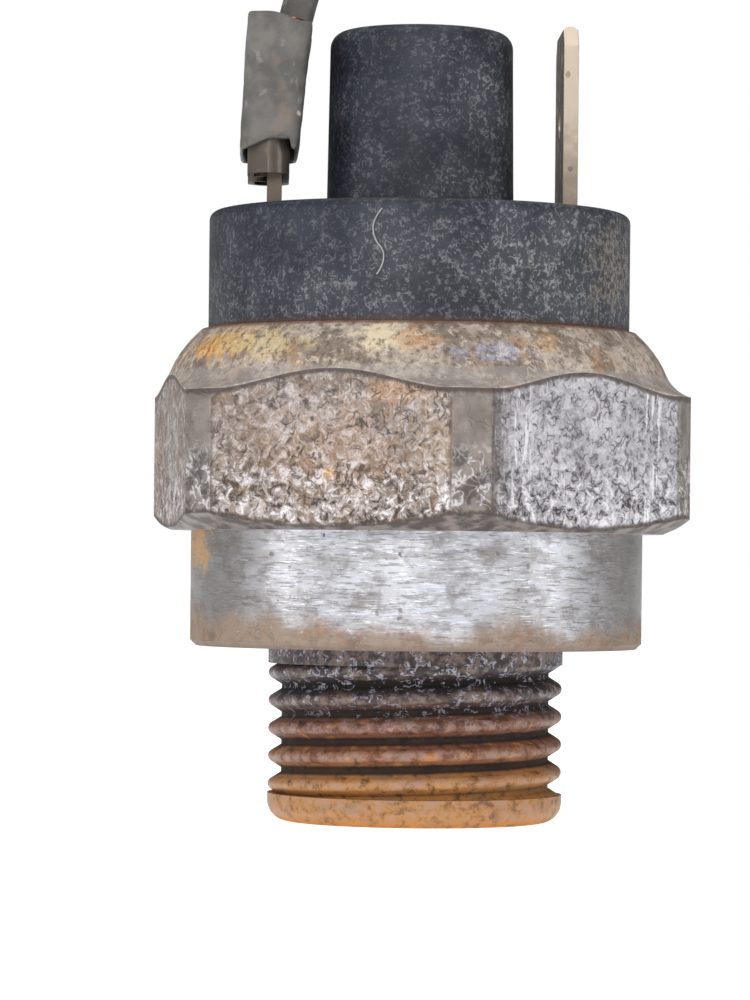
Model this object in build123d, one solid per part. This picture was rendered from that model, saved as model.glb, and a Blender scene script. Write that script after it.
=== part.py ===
from build123d import *
import math
import os

# Screw-in pressure switch. Millimetres, +Z up along the body axis.
# Origin: on the axis, in the plane of the sealing face under the collar.
# The hex corner nearest the front (-Y) stands 8.6 degrees towards +X.

# ---- driving dimensions -----------------------------------------------------------------

# port thread, M16 x 1.5, worn crests
thread_length = 9.4
thread_pitch = 1.5
thread_band_r = 7.96
thread_crest_relief = 0.03
thread_depth = 0.74
thread_root_land = 0.2
thread_crest_land = 0.56
thread_upper_band = 0.9
thread_lower_band = 0.4
thread_end_round = 1.1
thread_start_turn = 180.0
ridge_overrun = 0.3
port_r = 2.0
port_mouth_bevel = 0.4

# collar and hex
collar_inset = 1.3
collar_height = 6.2
collar_edge = 0.3
hex_across_flats = 27.0
hex_height = 8.35
hex_corner_height = 7.3
hex_corner_overhang = 1.57
hex_land_inset = 0.2
hex_lower_bevel_angle = 24.0
flare_mid_share = 0.38
flare_mid_rise = 0.4
hex_turn = 38.6

# rolled lip over the cap
lip_height = 2.45
lip_base_inset = 0.3
lip_base_rise = 0.65
lip_crown_inset = 0.85
lip_crown_rise = 1.5
lip_edge_t = 0.33

# pressure chamber and the stack above it
body_wall = 1.5
floor_over_collar = 1.4
stack_clearance = 0.08
chamber_r = 6.5
chamber_depth = 1.4
seal_inset = 2.4
seal_width = 1.6
seal_height = 1.35
seal_groove_clearance = 0.2
diaphragm_t = 0.5
convolution_offset = 0.9
convolution_half_w = 0.5
convolution_h = 0.45

support_ring_t = 3.5
piston_head_r = 5.0
piston_head_t = 1.0
piston_edge = 0.2
piston_pocket_gap = 2.0
piston_stem_r = 3.0
piston_fit = 0.04
stroke = 0.75
stroke_stop_gap = 0.03
stem_top_drop = 0.2
pin_r = 1.5
pin_socket_depth = 1.0
pin_spigot_r = 0.8
pin_spigot_h = 1.0
pin_spigot_gap = 0.1
small_fit = 0.03
contact_base_t = 1.0
contact_base_hole_gap = 0.4

# contact bridge and contacts
bridge_rise = 0.7
bridge_t = 0.6
bridge_end = 1.2
bridge_half_width = 2.2
contact_inset = 2.3
contact_head_r = 1.1
contact_head_t = 0.5
contact_edge = 0.2
contact_shank_r = 0.6
contact_rest_gap = 0.05
fixed_head_t = 0.7

# terminals: 6.3 x 0.8 push-on tabs
tab_x = 7.9
tab_t = 0.8
tab_width = 6.3
tab_height = 10.0
tab_tip_bevel_w = 0.95
tab_tip_bevel_h = 1.1
tab_tip_thin = 0.2
tab_hole_r = 0.85
tab_hole_drop = 5.0
strip_shoulder = 0.65
foot_reach = 3.7
foot_width = 3.6
tab_slot_clearance = 0.05

# cap: flange, rim and tower
cap_flange_h = 2.35
cap_neck_rise = 0.9
cap_neck_drop = 0.02
cap_rim_r = 11.38
cap_rim_height = 6.4
cap_lip_clearance = 0.04
cap_rim_edge = 0.5
cap_roof_t = 2.0
cap_wall = 1.78
tower_base_r = 5.06
tower_draft = 0.13
tower_height = 9.8
tower_top_edge = 0.9
tower_foot_fillet = 0.25
tower_bore_r = 3.4
cap_seal_groove_h = 1.3
cap_seal_depth = 0.9
cap_seal_side_gap = 0.05

# range spring and its adjustment
spring_bore_gap = 0.45
spring_wire_d = 0.8
spring_turns = 6.5
spring_end_grind = 0.2
seat_flange_over = 0.15
seat_flange_t = 0.8
seat_boss_gap = 0.4
seat_boss_h = 1.0
upper_seat_fit = 0.07
upper_seat_t = 1.2
upper_seat_top_gap = 0.42
upper_seat_dimple = 0.4
insert_step = 0.5
insert_h = 4.2
insert_drop = 6.0
insert_flute_r = 0.28
insert_flute_inset = 0.2
insert_flute_margin = 0.8
insert_flutes = 18
insert_wall = 1.1
screw_fit = 0.05
screw_length = 3.6
screw_start = 0.5
screw_edge = 0.3
screw_nose_r = 1.4
screw_slot_w = 0.9
screw_slot_depth = 0.9
plug_step = 0.6
plug_t = 1.3
plug_recess = 0.35
plug_edge = 0.2
plug_dimple_r = 1.2
plug_dimple_depth = 0.4

# push-on receptacle on the left tab, its sleeve and its crimp
sheet_t = 0.35
receptacle_lift = 1.8
receptacle_grip_h = 5.5
receptacle_base_inset = 0.1
receptacle_gap = 0.04
curl_r = 0.33
curl_end_inset = 1.35
neck_half_w = 1.3
neck_lap = 0.5
crimp_rise = 0.5
crimp_h = 2.4
crimp_t = 0.85
crimp_half_w = 1.35
crimp_wall = 0.2
crimp_corner_r = 0.4
sleeve_rise = 1.2
sleeve_height = 7.4
sleeve_wall = 0.22
sleeve_low_offsets = (-1.88, 1.27)
sleeve_high_offsets = (-1.58, 1.92)
sleeve_side_gap = 0.33
sleeve_high_taper = 0.1
sleeve_corner_r = 0.7
sleeve_room_corner_r = 0.6
sleeve_neck_corner_r = 0.3
sleeve_give = 0.02

# lead
lead_d = 1.85
lead_route = [
    (-6.84, 0.0, 33.85),
    (-4.95, 0.0, 41.6),
    (2.4, 0.6, 49.2),
    (12.4, 1.3, 49.8),
    (20.0, 2.6, 41.8),
    (22.3, 4.0, 29.6),
    (21.3, 5.2, 16.6),
    (21.9, 6.0, 6.0),
    (22.0, 9.6, -5.2),
    (22.7, 19.6, -8.475),
    (23.9, 27.6, -7.13),
    (24.5, 33.0, -7.13),
]
strand_r = 0.5
strand_entry = 0.25

# bullet plug on the lead's far end
bullet_r = 1.97
bullet_nose = 1.3
bullet_length = 10.0
bullet_groove_depth = 0.37
bullet_groove_at = 5.2
bullet_groove_w = 0.9
barrel_r = 1.45
barrel_length = 6.0
barrel_bore_r = 0.62
barrel_floor = 1.0
bullet_sleeve_wall = 0.8
bullet_sleeve_lead = 2.2
bullet_sleeve_edge = 0.6

# modelling allowances: a cut runs past the face that it opens, joined solids lap into each other,
# and edges this close to a place are at it
overrun = 1.0
lap = 0.5
touching = 0.01

# ---- places worked out from the sizes -----------------------------------------------------

# body
thread_crest_r = thread_band_r - thread_crest_relief
thread_root_r = thread_band_r - thread_depth
lower_band_top_z = -thread_length + thread_end_round + thread_lower_band
hex_flat_r = hex_across_flats / 2
collar_r = hex_flat_r - collar_inset
hex_corner_r = hex_flat_r + hex_corner_overhang
hex_land_r = hex_flat_r - hex_land_inset
hex_top_z = collar_height + hex_height
lip_top_z = hex_top_z + lip_height
hex_corner_z = collar_height + hex_corner_height
lip_base_r = hex_flat_r - lip_base_inset
lip_crown_r = hex_flat_r - lip_crown_inset
neck_r = cap_rim_r + cap_lip_clearance
lip_top_r = neck_r + lip_edge_t
stack_r = hex_flat_r - body_wall
part_r = stack_r - stack_clearance
body_floor_z = collar_height + floor_over_collar
chamber_z = body_floor_z - chamber_depth
seal_mean_r = stack_r - seal_inset

# pressure stack and contacts
ring_bottom_z = body_floor_z + diaphragm_t
ring_top_z = ring_bottom_z + support_ring_t
convolution_r = piston_head_r + convolution_offset
piston_head_top_z = ring_bottom_z + piston_head_t
pocket_roof_z = piston_head_top_z + stroke + stroke_stop_gap
stem_top_z = ring_top_z - stem_top_drop
base_top_z = ring_top_z + contact_base_t
bridge_z = base_top_z + bridge_rise
bridge_top_z = bridge_z + bridge_t
contact_x = tab_x - contact_inset
contact_face_z = bridge_top_z + contact_head_t
fixed_face_z = contact_face_z + stroke + contact_rest_gap
foot_z = fixed_face_z + fixed_head_t
foot_top_z = foot_z + tab_t

# cap and tower
flange_top_z = base_top_z + cap_flange_h
cap_rim_top_z = lip_top_z + cap_rim_height
cap_cavity_r = cap_rim_r - cap_wall
roof_z = cap_rim_top_z - cap_roof_t
tab_tip_z = cap_rim_top_z + tab_height
tower_top_r = tower_base_r - tower_draft
tower_top_z = cap_rim_top_z + tower_height
insert_base_z = tower_top_z - insert_drop
insert_top_z = insert_base_z + insert_h
insert_r = tower_bore_r + insert_step
screw_r = insert_r - insert_wall - screw_fit
plug_r = tower_bore_r + plug_step
plug_top_z = tower_top_z - plug_recess
plug_z = plug_top_z - plug_t
cap_groove_z = base_top_z + (cap_flange_h - cap_seal_groove_h) / 2
cap_groove_r = part_r - cap_seal_depth

# spring and seats
spring_mean_r = tower_bore_r - spring_bore_gap - spring_wire_d / 2
seat_flange_r = spring_mean_r + spring_wire_d / 2 + seat_flange_over
seat_boss_r = spring_mean_r - spring_wire_d / 2 - seat_boss_gap
lower_seat_top_z = bridge_top_z + seat_flange_t
upper_seat_r = tower_bore_r - upper_seat_fit
upper_seat_top_z = insert_base_z - upper_seat_top_gap
upper_seat_z = upper_seat_top_z - upper_seat_t
screw_nose_z = upper_seat_top_z - upper_seat_dimple
screw_z = upper_seat_top_z + screw_start
screw_top_z = screw_z + screw_length

# receptacle on the left tab
tab_inner_x = -tab_x + tab_t / 2
tab_outer_x = -tab_x - tab_t / 2
plate_inner_x = tab_inner_x + receptacle_gap
grip_z = cap_rim_top_z + receptacle_lift
grip_top_z = grip_z + receptacle_grip_h
grip_base_y = tab_width / 2 - receptacle_base_inset
curl_lip_x = tab_outer_x - receptacle_gap - sheet_t / 2
curl_outer_x = curl_lip_x - 2 * curl_r
bend_r = (plate_inner_x + sheet_t / 2 - curl_outer_x) / 2
grip_half_y = grip_base_y + bend_r + sheet_t / 2
crimp_x = plate_inner_x + crimp_t / 2
crimp_z = grip_top_z + crimp_rise
crimp_top_z = crimp_z + crimp_h
sleeve_z = grip_z + sleeve_rise
sleeve_top_z = sleeve_z + sleeve_height


# ---- helpers -----------------------------------------------------------------------------

def turned(points):
    """Solid of revolution about Z from an outline of (radius, height) points."""
    face = make_face(Polyline(*points, close=True))
    return revolve(Plane.XZ * face, axis=Axis.Z, revolution_arc=360)


def disc(radius, bottom, height):
    """Upright cylinder standing on the height 'bottom'."""
    return Pos(0, 0, bottom + height / 2) * Cylinder(radius, height)


def tube(outer_r, inner_r, bottom, height):
    """Upright ring."""
    return disc(outer_r, bottom, height) - disc(inner_r, bottom - overrun, height + 2 * overrun)


def block(x0, x1, y0, y1, z0, z1):
    """Box between two corners."""
    centre = Pos((x0 + x1) / 2, (y0 + y1) / 2, (z0 + z1) / 2)
    return centre * Box(x1 - x0, y1 - y0, z1 - z0)


def ring_edges(shape, radius, height, tolerance=0.02):
    """Circular edges of the given radius at the given height."""
    found = []
    for edge in shape.edges().filter_by(GeomType.CIRCLE):
        same_r = abs(edge.radius - radius) < tolerance
        same_z = abs(edge.arc_center.Z - height) < tolerance
        if same_r and same_z:
            found.append(edge)
    return found


def seal_ring(mean_r, width, height, bottom):
    """Squeezed O-ring of elliptical section."""
    section = Plane.XZ * (Pos(mean_r, bottom + height / 2) * Ellipse(width / 2, height / 2))
    return revolve(section, axis=Axis.Z, revolution_arc=360)


def mirrored(shape):
    """The same piece on the other side of the YZ plane."""
    return mirror(shape, about=Plane.YZ)


def save(name, shape):
    """Write one sub-part to its own STEP file."""
    os.makedirs("parts", exist_ok=True)
    export_step(shape, "parts/" + name + ".step")


# ---- body --------------------------------------------------------------------------------

def thread_ridge():
    """Right-hand helical ridge of the port thread, running past both plain bands."""
    bury = 0.15
    base_half = (thread_pitch - thread_root_land) / 2
    crest_half = thread_crest_land / 2
    slope = (base_half - crest_half) / (thread_crest_r - thread_root_r)
    inner_r = thread_root_r - bury
    inner_half = base_half + slope * bury
    start_z = lower_band_top_z - inner_half - ridge_overrun
    end_z = -thread_upper_band + inner_half + ridge_overrun
    round_off = 0.14
    left = Line((inner_r, -inner_half), (thread_crest_r - round_off, -crest_half))
    crest = ThreePointArc(
        (thread_crest_r - round_off, -crest_half),
        (thread_crest_r, 0),
        (thread_crest_r - round_off, crest_half),
    )
    right = Line((thread_crest_r - round_off, crest_half), (inner_r, inner_half))
    root = Line((inner_r, inner_half), (inner_r, -inner_half))
    profile = make_face(left + crest + right + root)
    placed = Pos(0, 0, start_z) * (Plane.XZ * profile)
    path = Helix(thread_pitch, end_z - start_z, thread_root_r, center=(0, 0, start_z))
    return Rot(0, 0, thread_start_turn) * sweep(placed, path=path, is_frenet=True)


def thread_shank():
    """Threaded stretch between two plain bands, with the rounded end below."""
    end_z = -thread_length
    middle_z = (lower_band_top_z - thread_upper_band) / 2
    stretch = -thread_upper_band - lower_band_top_z
    slab = Pos(0, 0, middle_z) * Box(4 * thread_band_r, 4 * thread_band_r, stretch)
    core = disc(thread_root_r, end_z - 2, thread_length + 4)
    threaded = (core + thread_ridge()) & slab
    nose_r = thread_band_r - thread_end_round
    round_off = thread_end_round * (1 - math.sqrt(0.5))
    arc_mid = (thread_band_r - round_off, end_z + round_off)
    outline = Line((0, end_z), (nose_r, end_z))
    outline += ThreePointArc((nose_r, end_z), arc_mid, (thread_band_r, end_z + thread_end_round))
    outline += Line((thread_band_r, end_z + thread_end_round), (thread_band_r, lower_band_top_z))
    outline += Line((thread_band_r, lower_band_top_z), (0, lower_band_top_z))
    outline += Line((0, lower_band_top_z), (0, end_z))
    lower = revolve(Plane.XZ * make_face(outline), axis=Axis.Z, revolution_arc=360)
    upper = disc(thread_band_r, -thread_upper_band, thread_upper_band + lap)
    return threaded + lower + upper


def hex_block():
    """Hexagon with turned corners, flaring up into the domed lip; it is solid before it is bored out."""
    lower_rise = (hex_corner_r - hex_land_r) * math.tan(math.radians(hex_lower_bevel_angle))
    flat = RegularPolygon(hex_flat_r, 6, major_radius=False, rotation=hex_turn)
    prism = Pos(0, 0, collar_height) * extrude(flat, lip_top_z - collar_height)
    corner = (hex_corner_r, hex_corner_z)
    flare_mid = (hex_flat_r + flare_mid_share * hex_corner_overhang, hex_corner_z + flare_mid_rise)
    foot = (hex_flat_r, hex_top_z)
    base = (lip_base_r, hex_top_z + lip_base_rise)
    crown = (lip_crown_r, hex_top_z + lip_crown_rise)
    top = (lip_top_r, lip_top_z)
    outline = Line((0, collar_height), (hex_land_r, collar_height))
    outline += Line((hex_land_r, collar_height), (hex_corner_r, collar_height + lower_rise))
    outline += Line((hex_corner_r, collar_height + lower_rise), corner)
    outline += ThreePointArc(corner, flare_mid, foot)
    outline += Line(foot, base)
    outline += ThreePointArc(base, crown, top)
    outline += Line(top, (0, lip_top_z))
    outline += Line((0, lip_top_z), (0, collar_height))
    envelope = revolve(Plane.XZ * make_face(outline), axis=Axis.Z, revolution_arc=360)
    return prism & envelope


def hex_body():
    """Steel body: thread, collar, hex, lip and the stepped bore through them."""
    collar = turned([
        (0, 0),
        (collar_r - collar_edge, 0),
        (collar_r, collar_edge),
        (collar_r, collar_height + lap),
        (0, collar_height + lap),
    ])
    solid = collar + hex_block() + thread_shank()
    bore = turned([
        (0, chamber_z),
        (chamber_r, chamber_z),
        (chamber_r, body_floor_z),
        (stack_r, body_floor_z),
        (stack_r, flange_top_z),
        (neck_r, flange_top_z + cap_neck_rise),
        (neck_r, lip_top_z + overrun),
        (0, lip_top_z + overrun),
    ])
    groove_half = seal_width / 2 + seal_groove_clearance
    groove = tube(
        seal_mean_r + groove_half,
        seal_mean_r - groove_half,
        body_floor_z - seal_height,
        seal_height + 0.1,
    )
    inlet = turned([
        (0, -thread_length - overrun),
        (port_r + port_mouth_bevel + overrun, -thread_length - overrun),
        (port_r, -thread_length + port_mouth_bevel),
        (port_r, chamber_z + 0.1),
        (0, chamber_z + 0.1),
    ])
    return solid - bore - groove - inlet


# ---- pressure stack ----------------------------------------------------------------------

def diaphragm():
    """Clamped disc with one raised convolution between piston and ring."""
    low = body_floor_z
    high = low + diaphragm_t
    rise = convolution_h
    r0 = convolution_r - convolution_half_w
    r1 = convolution_r + convolution_half_w
    outline = Line((0, low), (r0, low))
    outline += ThreePointArc((r0, low), (convolution_r, low + rise), (r1, low))
    outline += Line((r1, low), (part_r, low))
    outline += Line((part_r, low), (part_r, high))
    outline += Line((part_r, high), (r1, high))
    outline += ThreePointArc((r1, high), (convolution_r, high + rise), (r0, high))
    outline += Line((r0, high), (0, high))
    outline += Line((0, high), (0, low))
    return revolve(Plane.XZ * make_face(outline), axis=Axis.Z, revolution_arc=360)


def support_ring():
    """Steel ring that clamps the diaphragm's edge, stops the piston and guides its stem."""
    ring = disc(part_r, ring_bottom_z, support_ring_t)
    pocket = disc(piston_head_r + piston_pocket_gap, ring_bottom_z - overrun, pocket_roof_z - ring_bottom_z + overrun)
    guide = disc(piston_stem_r + piston_fit, ring_bottom_z, support_ring_t + overrun)
    return ring - pocket - guide


def piston():
    """Plate on the diaphragm with a guided stem and a socket for the push pin."""
    head = disc(piston_head_r, ring_bottom_z, piston_head_t)
    head = chamfer(ring_edges(head, piston_head_r, piston_head_top_z), piston_edge)
    stem = disc(piston_stem_r, ring_bottom_z, stem_top_z - ring_bottom_z)
    socket = disc(pin_r + small_fit, stem_top_z - pin_socket_depth, pin_socket_depth + overrun)
    return head + stem - socket


def push_pin():
    """Insulating pin between piston and bridge, with a spigot through the bridge."""
    bottom = stem_top_z - pin_socket_depth
    body = disc(pin_r, bottom, bridge_z - bottom)
    spigot = disc(pin_spigot_r, bridge_z - 0.2, pin_spigot_h + 0.2)
    return body + spigot


def contact_base():
    """Insulating disc over the support ring, with a hole for the pin and the stem."""
    return tube(part_r, piston_stem_r + contact_base_hole_gap, ring_top_z, contact_base_t)


# ---- contacts ----------------------------------------------------------------------------

def contact_bridge():
    """Round-ended strip with the pin hole and two rivet holes."""
    strip = SlotOverall(2 * (contact_x + bridge_end), 2 * bridge_half_width)
    plate = Pos(0, 0, bridge_z) * extrude(strip, bridge_t)
    plate -= disc(pin_spigot_r + small_fit, bridge_z - overrun, bridge_t + 2 * overrun)
    for side in (-1, 1):
        plate -= Pos(side * contact_x, 0, 0) * disc(contact_shank_r, bridge_z - overrun, bridge_t + 2 * overrun)
    return plate


def bridge_contact():
    """Rivet in the right end of the bridge, domed head upwards."""
    head = disc(contact_head_r, bridge_top_z, contact_head_t)
    head = fillet(ring_edges(head, contact_head_r, contact_face_z), contact_edge)
    shank = disc(contact_shank_r, bridge_z, bridge_t + 0.1)
    return Pos(contact_x, 0, 0) * (head + shank)


def fixed_contact():
    """Rivet in the right terminal's foot, domed head downwards."""
    head = disc(contact_head_r, fixed_face_z, fixed_head_t)
    head = fillet(ring_edges(head, contact_head_r, fixed_face_z), contact_edge)
    shank = disc(contact_shank_r, foot_z - 0.1, tab_t + 0.1)
    return Pos(contact_x, 0, 0) * (head + shank)


def terminal():
    """Right terminal: foot with the contact, wide strip in the cap, narrow tab outside."""
    inner_x = tab_x - tab_t / 2
    outer_x = tab_x + tab_t / 2
    foot_x = tab_x - foot_reach
    foot = block(foot_x, outer_x, -foot_width / 2, foot_width / 2, foot_z, foot_top_z)
    foot -= Pos(contact_x, 0, 0) * disc(contact_shank_r, foot_z - overrun, tab_t + 2 * overrun)
    half = tab_width / 2
    wide = half + strip_shoulder
    strip = block(inner_x, outer_x, -wide, wide, foot_z, roof_z)
    tip_half = half - tab_tip_bevel_w
    outline = Polyline(
        (-half, roof_z - overrun),
        (half, roof_z - overrun),
        (half, tab_tip_z - tab_tip_bevel_h),
        (tip_half, tab_tip_z),
        (-tip_half, tab_tip_z),
        (-half, tab_tip_z - tab_tip_bevel_h),
        close=True,
    )
    blade = Pos(inner_x, 0, 0) * extrude(Plane.YZ * make_face(outline), tab_t)
    tip_edges = []
    for edge in blade.edges():
        at_tip = abs(edge.center().Z - tab_tip_z) < touching
        across = abs(edge.center().Y) < touching
        if at_tip and across:
            tip_edges.append(edge)
    blade = chamfer(tip_edges, tab_tip_thin)
    hole_z = tab_tip_z - tab_hole_drop
    hole = Pos(tab_x, 0, hole_z) * (Rot(0, 90, 0) * Cylinder(tab_hole_r, tab_t + 2 * overrun))
    return foot + strip + blade - hole


# ---- cap ---------------------------------------------------------------------------------

def cap_outside():
    """Flange under the lip, rim above it and the tower, with moulded edge radii."""
    body = turned([
        (0, base_top_z),
        (part_r, base_top_z),
        (part_r, flange_top_z - cap_neck_drop),
        (cap_rim_r, flange_top_z - cap_neck_drop + cap_neck_rise),
        (cap_rim_r, cap_rim_top_z),
        (tower_base_r, cap_rim_top_z),
        (tower_top_r, tower_top_z),
        (0, tower_top_z),
    ])
    body = fillet(ring_edges(body, cap_rim_r, cap_rim_top_z), cap_rim_edge)
    body = fillet(ring_edges(body, tower_base_r, cap_rim_top_z), tower_foot_fillet)
    return fillet(ring_edges(body, tower_top_r, tower_top_z), tower_top_edge)


def cap():
    """Moulded cap: hollow skirt, roof with two tab slots, tower with stepped bore."""
    solid = cap_outside()
    solid -= disc(cap_cavity_r, base_top_z - overrun, roof_z - base_top_z + overrun)
    solid -= disc(tower_bore_r, roof_z - overrun, insert_base_z - roof_z + overrun + lap)
    solid -= disc(insert_r, insert_base_z, insert_h)
    solid -= disc(tower_bore_r, insert_top_z - lap, tower_top_z - insert_top_z + overrun)
    solid -= disc(plug_r, plug_z, tower_top_z - plug_z + overrun)
    slot_half_t = tab_t / 2 + tab_slot_clearance
    slot_half_w = tab_width / 2 + tab_slot_clearance
    for side in (-1, 1):
        middle = side * tab_x
        solid -= block(
            middle - slot_half_t,
            middle + slot_half_t,
            -slot_half_w,
            slot_half_w,
            roof_z - overrun,
            cap_rim_top_z + overrun,
        )
    solid -= tube(part_r + overrun, cap_groove_r, cap_groove_z, cap_seal_groove_h)
    return solid


def cap_seal():
    """O-ring in the flange's groove, squeezed against the body's bore."""
    mean_r = (stack_r + cap_groove_r) / 2
    height = cap_seal_groove_h - 2 * cap_seal_side_gap
    return seal_ring(mean_r, stack_r - cap_groove_r, height, cap_groove_z + cap_seal_side_gap)


# ---- range spring and adjustment -----------------------------------------------------------

def range_spring():
    """Coil between the two seats, ends ground flat on them."""
    low = lower_seat_top_z
    high = upper_seat_z
    wire_r = spring_wire_d / 2
    start = low + wire_r * spring_end_grind
    rise = high - low - 2 * wire_r * spring_end_grind
    path = Helix(rise / spring_turns, rise, spring_mean_r, center=(0, 0, start))
    section = Plane.XZ * (Pos(spring_mean_r, 0) * Circle(wire_r))
    coil = sweep(Pos(0, 0, start) * section, path=path, is_frenet=True)
    reach = 2 * spring_mean_r
    limits = block(-reach, reach, -reach, reach, low, high)
    return coil & limits


def lower_spring_seat():
    """Flanged insulating button on the bridge, blind hole below for the pin's spigot."""
    flange = disc(seat_flange_r, bridge_top_z, seat_flange_t)
    boss = disc(seat_boss_r, lower_seat_top_z - 0.1, seat_boss_h + 0.1)
    hole = disc(pin_spigot_r + small_fit, bridge_top_z - overrun, pin_spigot_h - bridge_t + overrun + pin_spigot_gap)
    return flange + boss - hole


def upper_spring_seat():
    """Disc guided in the tower's bore, boss downwards, hollow for the screw's nose."""
    flange = disc(upper_seat_r, upper_seat_z, upper_seat_t)
    boss = disc(seat_boss_r, upper_seat_z - seat_boss_h, seat_boss_h + 0.1)
    dimple = disc(screw_nose_r + small_fit, screw_nose_z, overrun)
    return flange + boss - dimple


def threaded_insert():
    """Brass bush with fluted outside, moulded into the tower."""
    bush = tube(insert_r, screw_r + screw_fit, insert_base_z, insert_h)
    for index in range(insert_flutes):
        turn = Rot(0, 0, 360 * index / insert_flutes)
        flute_h = insert_h - 2 * insert_flute_margin
        flute = disc(insert_flute_r, insert_base_z + insert_flute_margin, flute_h)
        middle_r = insert_r + insert_flute_r - insert_flute_inset
        bush -= turn * (Pos(middle_r, 0, 0) * flute)
    return bush


def adjusting_screw():
    """Slotted grub screw in the insert, its nose in the upper seat."""
    body = disc(screw_r, screw_z, screw_length)
    body = chamfer(ring_edges(body, screw_r, screw_top_z), screw_edge)
    nose = disc(screw_nose_r, screw_nose_z, screw_z - screw_nose_z + 0.1)
    half_slot = screw_slot_w / 2
    slot_z = screw_top_z - screw_slot_depth
    slot = block(-insert_r, insert_r, -half_slot, half_slot, slot_z, screw_top_z + overrun)
    return body + nose - slot


def tower_plug():
    """Pressed-in disc that closes the tower, with a shallow dimple."""
    disc_solid = disc(plug_r, plug_z, plug_t)
    disc_solid = chamfer(ring_edges(disc_solid, plug_r, plug_top_z), plug_edge)
    return disc_solid - disc(plug_dimple_r, plug_top_z - plug_dimple_depth, overrun)


# ---- receptacle, sleeve and lead -----------------------------------------------------------

def receptacle_grip():
    """Base plate with two edges curled over the tab, as one bent sheet."""
    base_x = plate_inner_x + sheet_t / 2
    bend_x = (base_x + curl_outer_x) / 2
    curl_x = (curl_outer_x + curl_lip_x) / 2
    curl_y = grip_base_y - curl_end_inset
    edge = (base_x, grip_base_y)
    back = (curl_outer_x, grip_base_y)
    curl = (curl_outer_x, curl_y)
    path = Line((base_x, 0), edge)
    path += ThreePointArc(edge, (bend_x, grip_base_y + bend_r), back)
    path += Line(back, curl)
    path += ThreePointArc(curl, (curl_x, curl_y - curl_r), (curl_lip_x, curl_y))
    half = Pos(0, 0, grip_z) * extrude(trace(path, sheet_t), receptacle_grip_h)
    return half + mirror(half, about=Plane.XZ)


def crimp_bore(height):
    """Flattened room for the strands inside the crimp."""
    width = crimp_t - 2 * crimp_wall
    depth = 2 * (crimp_half_w - crimp_wall)
    section = RectangleRounded(width, depth, crimp_corner_r - crimp_wall)
    return Pos(crimp_x, 0, crimp_z) * extrude(section, height)


def receptacle():
    """Curled grip, neck and the flattened crimp round the bare strands."""
    neck = block(
        plate_inner_x,
        plate_inner_x + sheet_t,
        -neck_half_w,
        neck_half_w,
        grip_top_z - neck_lap,
        crimp_z + neck_lap,
    )
    section = RectangleRounded(crimp_t, 2 * crimp_half_w, crimp_corner_r)
    crimp = Pos(crimp_x, 0, crimp_z) * extrude(section, crimp_h)
    above = crimp_bore(crimp_h + overrun)
    return receptacle_grip() + neck + crimp - above


def lead_strands():
    """Bare strands, flat inside the crimp and round where they enter the lead."""
    entry = Vector(*lead_route[0])
    along = (Vector(*lead_route[1]) - entry).normalized()
    low = Vector(crimp_x + sleeve_give, 0, crimp_top_z)
    high = entry + along * strand_entry
    rope = Plane(origin=low, z_dir=high - low) * extrude(Circle(strand_r), (high - low).length)
    return crimp_bore(crimp_h + strand_entry) + rope


def sleeve_section(offsets, half_y, height):
    """Rounded outline of the sleeve at one height, placed from the tab's middle."""
    width = offsets[1] - offsets[0]
    middle = -tab_x + (offsets[0] + offsets[1]) / 2
    return Pos(middle, 0, height) * RectangleRounded(width, 2 * half_y, sleeve_corner_r)


def receptacle_sleeve():
    """Soft sleeve over the receptacle, open at both ends, leaning a little to the right."""
    half_y = grip_half_y + sleeve_side_gap
    outer = loft([
        sleeve_section(sleeve_low_offsets, half_y, sleeve_z),
        sleeve_section(sleeve_high_offsets, half_y - sleeve_high_taper, sleeve_top_z),
    ])
    grip_x0 = curl_outer_x - sheet_t / 2 - sleeve_give
    grip_x1 = plate_inner_x + sheet_t + sleeve_give
    room = RectangleRounded(grip_x1 - grip_x0, 2 * (grip_half_y + sleeve_give), sleeve_room_corner_r)
    low_z = sleeve_z - overrun
    lower = Pos((grip_x0 + grip_x1) / 2, 0, low_z) * extrude(room, grip_top_z - low_z + sleeve_give)
    top_x0 = -tab_x + sleeve_high_offsets[0] + sleeve_wall
    top_x1 = -tab_x + sleeve_high_offsets[1] - sleeve_wall
    top_x1 = max(plate_inner_x + crimp_t + sleeve_give, top_x1 - sleeve_wall)
    neck_room = RectangleRounded(top_x1 - top_x0, 2 * (grip_half_y - sleeve_wall), sleeve_neck_corner_r)
    neck_z = grip_top_z - neck_lap
    upper = Pos((top_x0 + top_x1) / 2, 0, neck_z) * extrude(neck_room, sleeve_top_z - neck_z + overrun)
    return outer - lower - upper


def lead_radii(points):
    """Largest arc at each corner that leaves a tenth of the shorter run straight."""
    radii = []
    for before, here, after in zip(points, points[1:], points[2:]):
        run_in = Vector(*here) - Vector(*before)
        run_out = Vector(*after) - Vector(*here)
        turn = math.radians(run_in.get_angle(run_out))
        shorter = min(run_in.length, run_out.length)
        radii.append(0.45 * shorter / math.tan(turn / 2))
    return radii


def lead():
    """Insulated lead: straight runs joined by tangent arcs."""
    radii = lead_radii(lead_route)
    path = FilletPolyline(*lead_route, radius=radii)
    start = Plane(origin=path @ 0, z_dir=path % 0)
    solid = sweep(start * Circle(lead_d / 2), path=path)
    section = math.pi * (lead_d / 2) ** 2
    print("lead radii:", [round(r, 1) for r in radii])
    print("lead length:", round(path.length, 2))
    print("lead volume / (section x length):", round(solid.volume / (section * path.length), 4))
    return solid


def plug_place():
    """Place of the bullet plug: its own +Z runs on from the lead's last run."""
    end = Vector(*lead_route[-1])
    along = end - Vector(*lead_route[-2])
    return Plane(origin=end, z_dir=along)


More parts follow.
